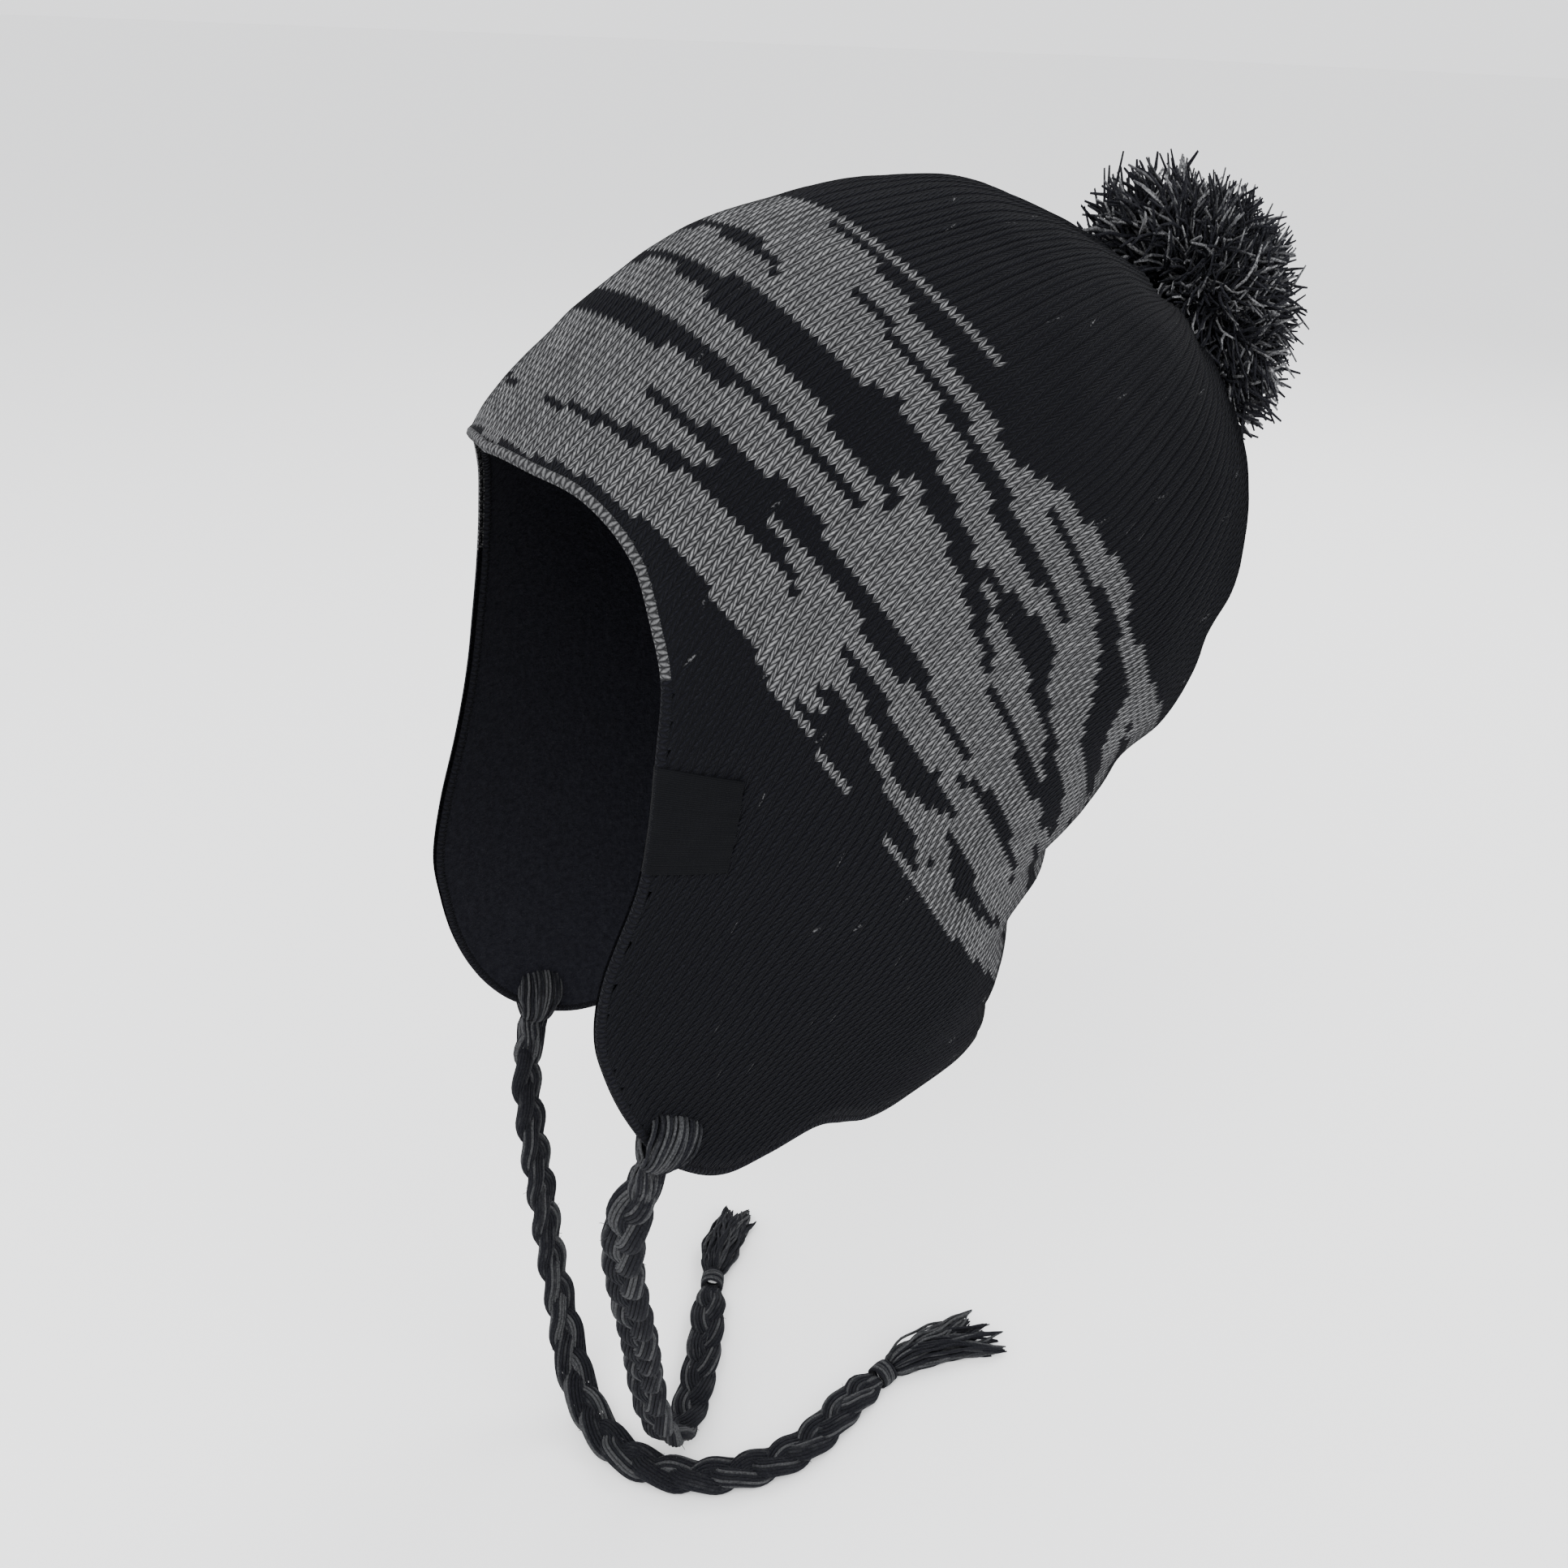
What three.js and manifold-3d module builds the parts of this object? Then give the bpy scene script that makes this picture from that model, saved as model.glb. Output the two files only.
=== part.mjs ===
// Earflap beanie: a hollow knitted body with two earflaps, a shaggy pompom, a folded side label, and at
// each flap's tip a yarn loop, a braided tie, its wound binding and a tassel. Millimetres, +Z up. The
// origin is inside the crown on top of the head, the wearer faces -Y and the wearer's left is +X. Worn,
// the hat leans back: its brow edge sits high on the forehead and its tip hangs behind the head.

import * as THREE from 'three';
import { mergeVertices } from 'three/addons/utils/BufferGeometryUtils.js';
import Module from 'manifold-3d';

const wasm = await Module();
wasm.setup();

// Driving sizes
const WALL = 3.6;
const GAP = 0.3;
const COLUMNS = 60;
const ROWS = 26;
const HEM_STEPS = 360;

const BLACK_YARN = 0x15151c;
const MIXED_YARN = 0x303034;
const LABEL_CLOTH = 0x111116;

// The knit from the flap tips up to the crown's tip. Each row is one course round the hat: course 0 is
// the brow and nape edge, 1 the crown's tip, and the courses below 0 are knitted only in the flaps. Front
// and back are the course's points in the middle of the brow and of the nape, halfWidth is its reach to
// each side, taper narrows it towards the nape and lean moves it to the wearer's left.
const COURSES = [
  { course: -1.2, frontY: -150, frontZ: -190, backY: -10, backZ: -350, halfWidth: 64, taper: 0.05, lean: 0 },
  { course: -0.8, frontY: -136, frontZ: -150, backY: 18, backZ: -335, halfWidth: 68, taper: 0.06, lean: 0 },
  { course: -0.4, frontY: -116, frontZ: -104, backY: 46, backZ: -316, halfWidth: 74, taper: 0.08, lean: 0 },
  { course: 0.0, frontY: -97, frontZ: -61, backY: 74, backZ: -292, halfWidth: 80, taper: 0.1, lean: 0 },
  { course: 0.2, frontY: -77, frontZ: -41, backY: 81, backZ: -249, halfWidth: 83, taper: 0.12, lean: 0 },
  { course: 0.4, frontY: -39, frontZ: -13, backY: 101, backZ: -211, halfWidth: 84, taper: 0.12, lean: 2 },
  { course: 0.6, frontY: 0, frontZ: 0, backY: 130, backZ: -179, halfWidth: 80, taper: 0.1, lean: 5 },
  { course: 0.8, frontY: 45, frontZ: 2, backY: 154, backZ: -134, halfWidth: 63, taper: 0.05, lean: 8 },
  { course: 0.93, frontY: 89, frontZ: -13, backY: 151, backZ: -83, halfWidth: 36, taper: 0, lean: 10 },
  { course: 1.0, frontY: 114, frontZ: -27, backY: 131, backZ: -46, halfWidth: 9, taper: 0, lean: 10 },
];

// The knit's lower edge, from the middle of the brow to the nape: its course at each angle in degrees,
// round the wearer's left and round the wearer's right, where the flap hangs lower and further back.
const EDGE = [
  { angle: 0, left: 0.0, right: 0.0 },
  { angle: 13, left: 0.02, right: 0.02 },
  { angle: 25, left: 0.05, right: 0.05 },
  { angle: 36, left: 0.03, right: 0.03 },
  { angle: 43, left: -0.04, right: -0.04 },
  { angle: 48, left: -0.12, right: -0.14 },
  { angle: 52, left: -0.26, right: -0.27 },
  { angle: 56, left: -0.4, right: -0.42 },
  { angle: 59, left: -0.53, right: -0.57 },
  { angle: 61.5, left: -0.74, right: -0.74 },
  { angle: 65, left: -0.88, right: -0.9 },
  { angle: 70, left: -0.96, right: -1.0 },
  { angle: 77, left: -1.025, right: -1.1 },
  { angle: 85, left: -1.06, right: -1.165 },
  { angle: 93, left: -1.045, right: -1.18 },
  { angle: 100, left: -0.975, right: -1.15 },
  { angle: 105, left: -0.83, right: -1.1 },
  { angle: 110, left: -0.665, right: -1.01 },
  { angle: 116, left: -0.59, right: -0.83 },
  { angle: 123, left: -0.52, right: -0.58 },
  { angle: 130, left: -0.385, right: -0.34 },
  { angle: 137, left: -0.18, right: -0.14 },
  { angle: 146, left: -0.02, right: 0.0 },
  { angle: 180, left: 0.02, right: 0.02 },
];

// Creases where the slack knit bunches behind the head: the height of each at the back, how deep and how
// tall it is, and how much it climbs towards the ears.
const CREASES = [
  { height: -134, depth: 5, half: 8, climb: 10 },
  { height: -176, depth: 4, half: 8, climb: 18 },
  { height: -202, depth: 4.5, half: 8, climb: 6 },
  { height: -228, depth: 3.5, half: 7, climb: 14 },
  { height: -258, depth: 2.5, half: 7, climb: 4 },
];
const CREASE_START = 1.9;
const CREASE_FULL = 2.7;

// Gathers drawn in round the crown's tip
const GATHERS = { count: 14, depth: 1.6, start: 0.8 };

// Smooth curve through the rows of a table: the value of one column at a place along the key column.
function along(table, key, at, column) {
  const last = table.length - 1;
  let row = 0;
  while (row < last - 1 && table[row + 1][key] < at) {
    row += 1;
  }
  const [before, from, to, after] = [row - 1, row, row + 1, row + 2]
    .map((index) => table[Math.min(last, Math.max(0, index))]);
  const span = to[key] - from[key];
  const share = THREE.MathUtils.clamp((at - from[key]) / span, 0, 1);
  const slope = (a, b) => ((b[column] - a[column]) / (b[key] - a[key])) * span;
  const square = share * share;
  const cube = square * share;
  return from[column] * (2 * cube - 3 * square + 1)
    + slope(before, to) * (cube - 2 * square + share)
    + to[column] * (3 * square - 2 * cube)
    + slope(from, after) * (cube - square);
}

// A point of the knit's smooth outer form, at an angle round the hat in radians and a course.
function formPoint(angle, course) {
  const at = (column) => along(COURSES, 'course', course, column);
  const frontShare = (1 + Math.cos(angle)) / 2;
  return new THREE.Vector3(
    at('halfWidth') * Math.sin(angle) * (1 + at('taper') * Math.cos(angle)) + at('lean'),
    THREE.MathUtils.lerp(at('backY'), at('frontY'), frontShare),
    THREE.MathUtils.lerp(at('backZ'), at('frontZ'), frontShare),
  );
}

// The outward direction of the smooth form.
function formNormal(angle, course) {
  const turn = 0.02;
  const climb = 0.01;
  const around = formPoint(angle + turn, course).sub(formPoint(angle - turn, course));
  const up = formPoint(angle, Math.min(course + climb, 1)).sub(formPoint(angle, course - climb));
  return around.cross(up).normalize();
}

// How far the creases and gathers draw the knit in from the smooth form.
function drawIn(angle, course, height) {
  const fromBrow = Math.abs(THREE.MathUtils.euclideanModulo(angle + Math.PI, 2 * Math.PI) - Math.PI);
  const behind = THREE.MathUtils.smoothstep(fromBrow, CREASE_START, CREASE_FULL);
  let depth = 0;
  for (const crease of CREASES) {
    const away = (height - crease.height - crease.climb * (1 - behind)) / crease.half;
    depth += crease.depth * behind * Math.exp(-away * away);
  }
  const nearTip = THREE.MathUtils.smoothstep(course, GATHERS.start, 1);
  return depth + GATHERS.depth * nearTip * (1 + Math.cos(GATHERS.count * angle)) / 2;
}

// A point of the knit at a distance outside its outer face.
function knitPoint(angle, course, outside = 0) {
  const point = formPoint(angle, course);
  const inward = drawIn(angle, course, point.z);
  return point.addScaledVector(formNormal(angle, course), outside - inward);
}

// The course of the lower edge at an angle round the hat, in degrees from -180 to 180.
function edgeCourse(degrees) {
  return along(EDGE, 'angle', Math.abs(degrees), degrees < 0 ? 'right' : 'left');
}

// The lower edge as equal steps of real length, each with its angle and course.
function hemSteps(count) {
  const track = [];
  let length = 0;
  for (let step = 0; step <= HEM_STEPS; step += 1) {
    const turn = (step / HEM_STEPS) * 2 * Math.PI - Math.PI;
    const course = edgeCourse(THREE.MathUtils.radToDeg(turn));
    const point = formPoint(turn, course);
    if (step > 0) {
      length += point.distanceTo(track[step - 1].point);
    }
    track.push({ angle: turn, course, point, length });
  }
  const steps = [];
  let at = 0;
  for (let column = 0; column < count; column += 1) {
    const wanted = (column / count) * length;
    while (track[at + 1].length < wanted) {
      at += 1;
    }
    const share = (wanted - track[at].length) / (track[at + 1].length - track[at].length);
    const angle = THREE.MathUtils.lerp(track[at].angle, track[at + 1].angle, share);
    const course = edgeCourse(THREE.MathUtils.radToDeg(angle));
    steps.push({ angle, course });
  }
  return steps;
}

// Closed geometry from corner points and faces given as lists of corner numbers.
function geometryOf(points, faces) {
  const geometry = new THREE.BufferGeometry();
  geometry.setAttribute('position', new THREE.Float32BufferAttribute(points.flatMap((p) => p.toArray()), 3));
  const fan = (face) => face.slice(2).flatMap((corner, place) => [face[0], face[place + 1], corner]);
  geometry.setIndex(faces.flatMap(fan));
  return geometry;
}

// A merged, position-only geometry as a solid that can be joined and cut.
function solidOf(geometry) {
  const plain = geometry.clone();
  plain.deleteAttribute('normal');
  plain.deleteAttribute('uv');
  const merged = mergeVertices(plain, 1e-4);
  return new wasm.Manifold(new wasm.Mesh({
    numProp: 3,
    vertProperties: new Float32Array(merged.attributes.position.array),
    triVerts: new Uint32Array(merged.index.array),
  }));
}

function geometryFromSolid(solid) {
  const mesh = solid.getMesh();
  const geometry = new THREE.BufferGeometry();
  geometry.setAttribute('position', new THREE.Float32BufferAttribute(mesh.vertProperties, 3));
  geometry.setIndex(new THREE.Uint32BufferAttribute(mesh.triVerts, 1));
  return geometry;
}

function fuse(solids) {
  return solids.reduce((all, solid) => all.add(solid));
}

function yarn(color, roughness = 0.95) {
  return new THREE.MeshStandardMaterial({ color, roughness, metalness: 0 });
}

function addPiece(group, name, geometry, material) {
  geometry.computeVertexNormals();
  const piece = new THREE.Mesh(geometry, material);
  piece.name = name;
  group.add(piece);
}

// Rows of points from the lower edge up to the tip, at a distance outside the knit's outer face. Their
// columns start at equal lengths along the edge and settle into equal turns at the tip.
function knitRows(outside) {
  const hem = hemSteps(COLUMNS);
  return Array.from({ length: ROWS + 1 }, (_, row) => hem.map((foot, column) => {
    const course = THREE.MathUtils.lerp(foot.course, 1, row / ROWS);
    const even = (column / COLUMNS) * 2 * Math.PI - Math.PI;
    return knitPoint(THREE.MathUtils.lerp(foot.angle, even, row / ROWS), course, outside);
  }));
}

function middleOf(ring) {
  return ring.reduce((sum, point) => sum.add(point), new THREE.Vector3()).divideScalar(ring.length);
}

// Faces between rings of equal count and the rings after them. Joined rings go on from the last to the
// first.
function ringWalls(rings, joined) {
  const count = rings[0].length;
  const faces = [];
  const joins = joined ? rings.length : rings.length - 1;
  for (let ring = 0; ring < joins; ring += 1) {
    const [here, there] = [ring * count, ((ring + 1) % rings.length) * count];
    for (let side = 0; side < count; side += 1) {
      const next = (side + 1) % count;
      faces.push([here + side, here + next, there + next, there + side]);
    }
  }
  return faces;
}

// A closed surface from rings and the walls between them. Both ends are closed to their middles, or, on a
// folded strip, straight across its thickness, and joined rings need no ends.
function ringGeometry(rings, ends, walls = ringWalls(rings, ends === 'joined')) {
  const count = rings[0].length;
  const points = rings.flat();
  const faces = [...walls];
  const finish = (rings.length - 1) * count;
  if (ends === 'middles') {
    const [start, end] = [points.length, points.length + 1];
    points.push(middleOf(rings[0]), middleOf(rings[rings.length - 1]));
    for (let side = 0; side < count; side += 1) {
      const next = (side + 1) % count;
      faces.push([next, side, start], [finish + side, finish + next, end]);
    }
  }
  if (ends === 'across') {
    for (let side = 0; side < count / 2 - 1; side += 1) {
      const corners = [side, side + 1, count - 2 - side, count - 1 - side];
      faces.push([...corners].reverse(), corners.map((corner) => finish + corner));
    }
  }
  return geometryOf(points, faces);
}

const OUTER_ROWS = knitRows(0);

// Faces of a skin of the knit from a row up, where cornerAt numbers the point of a row and column. A patch
// is split along its shorter diagonal on the outer face, so all the knit's skins are split alike.
function skinFaces(firstRow, cornerAt) {
  const faces = [];
  for (let row = firstRow; row < ROWS; row += 1) {
    for (let column = 0; column < COLUMNS; column += 1) {
      const next = (column + 1) % COLUMNS;
      const patch = [[row, column], [row, next], [row + 1, next], [row + 1, column]];
      const [a, b, c, d] = patch.map(([level, turn]) => OUTER_ROWS[level][turn]);
      const corners = patch.map(([level, turn]) => cornerAt(level, turn));
      faces.push(a.distanceTo(c) < b.distanceTo(d) ? corners : [...corners.slice(1), corners[0]]);
    }
  }
  return faces;
}

// The knit: its inner skin from the tip down, a rounded hem, and its outer skin back up to the tip.
function knitGeometry() {
  const inner = knitRows(-WALL);
  const middles = OUTER_ROWS[0].map((point, column) => point.clone().lerp(inner[0][column], 0.5));
  const hem = middles.map((middle, column) => {
    const ahead = middles[(column + 1) % COLUMNS].clone().sub(middles[(column + COLUMNS - 1) % COLUMNS]);
    const across = OUTER_ROWS[0][column].clone().sub(inner[0][column]);
    return middle.clone().addScaledVector(across.cross(ahead).normalize(), WALL / 2);
  });
  const rings = [...[...inner].reverse(), hem, ...OUTER_ROWS];
  const hemRing = inner.length;
  const innerSkin = skinFaces(0, (row, column) => (hemRing - 1 - row) * COLUMNS + column);
  const outerSkin = skinFaces(0, (row, column) => (hemRing + 1 + row) * COLUMNS + column);
  const hemWalls = ringWalls(rings.slice(hemRing - 1, hemRing + 2), false)
    .map((face) => face.map((corner) => (hemRing - 1) * COLUMNS + corner));
  const turnedSkin = innerSkin.map(([a, b, c, d]) => [a, d, c, b]);
  return ringGeometry(rings, 'middles', [...turnedSkin, ...hemWalls, ...outerSkin]);
}

// The crown as a solid just outside its own skin, to shape what sits on it.
function crownShaper() {
  const firstRow = Math.round(ROWS / 2);
  const skin = skinFaces(firstRow, (row, column) => (row - firstRow) * COLUMNS + column);
  return solidOf(ringGeometry(knitRows(GAP).slice(firstRow), 'middles', skin));
}

// Where the smooth form passes a given place seen from the side: Newton steps from a guess.
function sidePlace(y, z, guess) {
  const place = { ...guess };
  const step = 0.002;
  const tries = 8;
  for (let turn = 0; turn < tries; turn += 1) {
    const here = formPoint(place.angle, place.course);
    const round = formPoint(place.angle + step, place.course).sub(here).divideScalar(step);
    const up = formPoint(place.angle, place.course + step).sub(here).divideScalar(step);
    const [offY, offZ] = [y - here.y, z - here.z];
    const size = round.y * up.z - round.z * up.y;
    place.angle += (offY * up.z - offZ * up.y) / size;
    place.course += (round.y * offZ - round.z * offY) / size;
  }
  return place;
}

// A place on the lower edge: its point in the middle of the wall, and its directions out of the knit and
// away beyond the edge.
function hemPlace(degrees) {
  const at = (turn) => ({ angle: THREE.MathUtils.degToRad(turn), course: edgeCourse(turn) });
  const { angle, course } = at(degrees);
  const out = formNormal(angle, course);
  const [before, after] = [at(degrees - 1), at(degrees + 1)];
  const edgeway = formPoint(after.angle, after.course).sub(formPoint(before.angle, before.course)).normalize();
  const away = edgeway.clone().cross(out).normalize();
  return { angle, course, middle: knitPoint(angle, course, -WALL / 2), out, away };
}

// The tie's yarn, drawn through an eyelet and round the hem: a ring of flat section. Depths are measured
// from the hem into the flap.
const LOOP = { depth: 2.6, halfAcross: 6.8, halfDown: 8.6, thick: 3.1, wide: 6.8, steps: 16, sides: 10 };
const EYELET_SLACK = 1.1;

// Where a loop sits on the lower edge: it hangs partly away from the edge and partly straight down.
function loopPlace(degrees) {
  const { middle, out, away } = hemPlace(degrees);
  const down = new THREE.Vector3(0, 0, -1).projectOnPlane(out).normalize();
  const hang = away.clone().add(down).normalize();
  const centre = middle.clone().addScaledVector(hang, -LOOP.depth);
  return { centre, out, hang, sideways: hang.clone().cross(out) };
}

function loopGeometry(place) {
  const rings = Array.from({ length: LOOP.steps }, (_, step) => {
    const turn = (step / LOOP.steps) * 2 * Math.PI;
    const [across, down] = [Math.cos(turn), Math.sin(turn)];
    const outward = place.out.clone().multiplyScalar(across / LOOP.halfAcross)
      .addScaledVector(place.hang, down / LOOP.halfDown).normalize();
    return Array.from({ length: LOOP.sides }, (__, side) => {
      const round = (side / LOOP.sides) * 2 * Math.PI;
      return place.centre.clone()
        .addScaledVector(place.out, LOOP.halfAcross * across)
        .addScaledVector(place.hang, LOOP.halfDown * down)
        .addScaledVector(outward, LOOP.thick * Math.cos(round))
        .addScaledVector(place.sideways, LOOP.wide * Math.sin(round));
    });
  });
  return ringGeometry(rings, 'joined');
}

// The eyelet that the loop passes through, as the solid that it cuts from the flap.
function eyeletShaper(place) {
  const reach = 4 * WALL;
  const eyelet = new THREE.CylinderGeometry(1, 1, reach, LOOP.sides);
  eyelet.scale(LOOP.wide + EYELET_SLACK, 1, LOOP.thick + EYELET_SLACK);
  eyelet.applyMatrix4(new THREE.Matrix4().makeBasis(place.sideways, place.out, place.hang.clone().negate()));
  const middle = place.centre.clone().addScaledVector(place.hang, -LOOP.halfDown);
  eyelet.translate(middle.x, middle.y, middle.z);
  return solidOf(eyelet);
}

// The folded label: one leaf outside the flap, a turn round its front edge and a short leaf inside. The
// leaves fall away from the front edge by a share of their length, more at the top than at the foot, so
// they narrow to their sewn ends.
const LABEL = {
  thick: 0.8, slack: 0.4, outerLeaf: 19, innerLeaf: 9, top: -132, height: 29.5, fallAtTop: 0.22,
  fallAtFoot: 0.04, rows: 5, leafSteps: 4, turnSteps: 6,
};
const FRONT_EDGE = { above: 38, below: 70 };

// The place of the flap's front edge at a height, halving the stretch of angles that holds it.
function frontEdgeAt(z) {
  let { above, below } = FRONT_EDGE;
  const halvings = 20;
  for (let turn = 0; turn < halvings; turn += 1) {
    const middle = (above + below) / 2;
    const place = hemPlace(middle);
    if (formPoint(place.angle, place.course).z > z) {
      above = middle;
    } else {
      below = middle;
    }
  }
  return hemPlace((above + below) / 2);
}

function labelGeometry() {
  const rings = Array.from({ length: LABEL.rows }, (_, row) => {
    const share = row / (LABEL.rows - 1);
    const z = LABEL.top - share * LABEL.height;
    const fall = THREE.MathUtils.lerp(LABEL.fallAtTop, LABEL.fallAtFoot, share);
    const edge = frontEdgeAt(z);
    const edgePoint = formPoint(edge.angle, edge.course);
    const leaf = (length, side) => Array.from({ length: LABEL.leafSteps }, (__, step) => {
      const back = (step + 1) / LABEL.leafSteps * length;
      const place = sidePlace(edgePoint.y + back, edgePoint.z - fall * back, edge);
      const out = formNormal(place.angle, place.course);
      const middle = knitPoint(place.angle, place.course, -WALL / 2);
      return { middle, out: out.multiplyScalar(side) };
    });
    const turn = Array.from({ length: LABEL.turnSteps + 1 }, (__, step) => {
      const sweep = (step / LABEL.turnSteps) * Math.PI;
      const out = edge.out.clone().multiplyScalar(Math.cos(sweep)).addScaledVector(edge.away, Math.sin(sweep));
      return { middle: edge.middle, out };
    });
    const path = [...leaf(LABEL.outerLeaf, 1).reverse(), ...turn, ...leaf(LABEL.innerLeaf, -1)];
    const skin = (lift) => path.map(({ middle, out }) => middle.clone().addScaledVector(out, lift));
    const lift = WALL / 2 + LABEL.slack;
    return [...skin(lift + LABEL.thick), ...skin(lift).reverse()];
  });
  return ringGeometry(rings, 'across');
}

// A straight tapered lock of yarn between two places.
function lockSolid(from, to, rootRadius, tipRadius) {
  const sides = 5;
  const lock = new THREE.CylinderGeometry(tipRadius, rootRadius, from.distanceTo(to), sides);
  const heading = to.clone().sub(from).normalize();
  lock.applyQuaternion(new THREE.Quaternion().setFromUnitVectors(new THREE.Vector3(0, 1, 0), heading));
  const middle = from.clone().lerp(to, 0.5);
  lock.translate(middle.x, middle.y, middle.z);
  return solidOf(lock);
}

// The pompom: locks standing out of a round core, each sized for a pompom as tall as it is wide, and the
// whole made taller. It is sewn to the crown's tip and hangs behind it, its middle at the offset from the
// tip. The locks' directions are spread evenly, and their lengths vary by the ruffle. None grows towards
// the crown, where its share of the facing is below the parting.
const POMPOM = { core: 25, reach: 34, locks: 46, root: 8.5, tip: 3, ruffle: 2.2, ruffleTurn: 2.4, tall: 1.28 };
const POMPOM_OFFSET = new THREE.Vector3(-4, 25, 0.5);
const POMPOM_FACING = new THREE.Vector3(0, 0.95, 0.3).normalize();
const PARTING = -0.33;

function pompomGeometry() {
  const centre = middleOf(OUTER_ROWS[ROWS]).add(POMPOM_OFFSET);
  const solids = [solidOf(new THREE.IcosahedronGeometry(POMPOM.core, 1))];
  const goldenTurn = Math.PI * (3 - Math.sqrt(5));
  for (let lock = 0; lock < POMPOM.locks; lock += 1) {
    const height = 1 - 2 * (lock + 0.5) / POMPOM.locks;
    const round = Math.sqrt(1 - height * height);
    const direction = new THREE.Vector3(
      round * Math.cos(lock * goldenTurn),
      round * Math.sin(lock * goldenTurn),
      height,
    );
    const reach = POMPOM.reach + POMPOM.ruffle * Math.sin(lock * POMPOM.ruffleTurn);
    if (direction.dot(POMPOM_FACING) > PARTING) {
      const root = direction.clone().multiplyScalar(POMPOM.core - POMPOM.root);
      solids.push(lockSolid(root, direction.multiplyScalar(reach), POMPOM.root, POMPOM.tip));
    }
  }
  const ball = fuse(solids).scale([1, 1, POMPOM.tall]).translate(centre.toArray());
  return geometryFromSolid(ball.subtract(crownShaper()));
}

// The ties. Each route runs from under the loop down to the surface below and along it to the binding.
const BRAID_RADIUS = 6.4;
const BRAID_SIDES = 10;
const BRAID_STEP = 13;
const LEFT_TIE_ROUTE = [
  [63, -82.4, -262.3], [62.3, -85, -269], [60.8, -87.6, -277.5], [57.9, -87.8, -288.5],
  [54, -86.2, -301], [49.5, -82.5, -317.5], [45.2, -78.4, -334], [41, -74.2, -350], [35.5, -70.2, -366],
  [30.5, -66.4, -382], [27.8, -62.2, -401], [24.4, -55.8, -418], [18.4, -47.8, -427.5], [11, -39.5, -432],
  [3.5, -32, -433.3], [-4.8, -25, -433.3], [-13.2, -18.4, -433.3], [-22.5, -11.5, -433.3],
  [-32.5, -5, -433.3], [-42.6, 2.2, -433.3],
];
const RIGHT_TIE_ROUTE = [
  [-60.2, -65.8, -290.5], [-59.2, -67.9, -296.5], [-57, -69.8, -304], [-54.4, -71, -313],
  [-51.5, -71.4, -324], [-48.7, -71.4, -336], [-46.4, -71, -348], [-44, -70.4, -361],
  [-41, -70.4, -374], [-37, -70.3, -387], [-33, -69.8, -399], [-28, -69.8, -411], [-20.5, -70.4, -421.5],
  [-12, -70.3, -428.5], [-3, -69.6, -432.5], [6.5, -68.6, -433.3], [15.8, -65.8, -433.3],
  [24.5, -60.5, -433.3], [32, -53.5, -433.3], [38, -44, -433.3], [42, -33.5, -433.3],
  [44.3, -22, -433.3], [44.3, -10.5, -433.3], [42, 1, -433.3], [38, 12, -433.3], [34.3, 22.5, -433.3],
  [31.5, 34.5, -433.3],
];

function routeCurve(route) {
  return new THREE.CatmullRomCurve3(route.map((place) => new THREE.Vector3(...place)), false, 'centripetal');
}

function braidGeometry(route) {
  const curve = routeCurve(route);
  const section = new THREE.Shape();
  section.absarc(0, 0, BRAID_RADIUS, 0, 2 * Math.PI, false);
  return new THREE.ExtrudeGeometry(section, {
    extrudePath: curve,
    steps: Math.round(curve.getLength() / BRAID_STEP),
    curveSegments: BRAID_SIDES / 2,
    bevelEnabled: false,
  });
}

// The wound binding beyond a braid's end: a short barrel along the route's last heading.
const BINDING = { length: 8, endRadius: 5.8, radius: 6.8, sides: 12 };

function routeEnd(route) {
  const curve = routeCurve(route);
  return { place: curve.getPoint(1), heading: curve.getTangent(1) };
}

function addBinding(group, name, route) {
  const half = BINDING.length / 2;
  const profile = [
    new THREE.Vector2(0, -half),
    new THREE.Vector2(BINDING.endRadius, -half),
    new THREE.Vector2(BINDING.radius, -half / 2),
    new THREE.Vector2(BINDING.radius, half / 2),
    new THREE.Vector2(BINDING.endRadius, half),
    new THREE.Vector2(0, half),
  ];
  const end = routeEnd(route);
  const turn = new THREE.Quaternion().setFromUnitVectors(new THREE.Vector3(0, 1, 0), end.heading);
  const middle = end.place.clone().addScaledVector(end.heading, GAP + half);
  const barrel = new THREE.LatheGeometry(profile, BINDING.sides);
  barrel.applyQuaternion(turn);
  barrel.translate(middle.x, middle.y, middle.z);
  addPiece(group, name, geometryFromSolid(solidOf(barrel)), yarn(MIXED_YARN));
}

// The tassel beyond a binding: locks that fan out along the surface from a short head. Each lock's
// swing is in degrees to its left, in a tassel of spread 1, its length is in one of reach 1, and drop is
// how far its tip lies below the head's middle.
const TASSEL = { headLength: 12, headRadius: 5.8, root: 4.2, tip: 1.6 };
const TASSEL_LOCKS = [
  { swing: -21, length: 40, drop: 4 },
  { swing: -13, length: 47, drop: 1 },
  { swing: -6, length: 50, drop: 4.2 },
  { swing: 0, length: 54, drop: 0 },
  { swing: 6, length: 48, drop: 4.2 },
  { swing: 14, length: 51, drop: 1 },
  { swing: 23, length: 42, drop: 4 },
];

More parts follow.
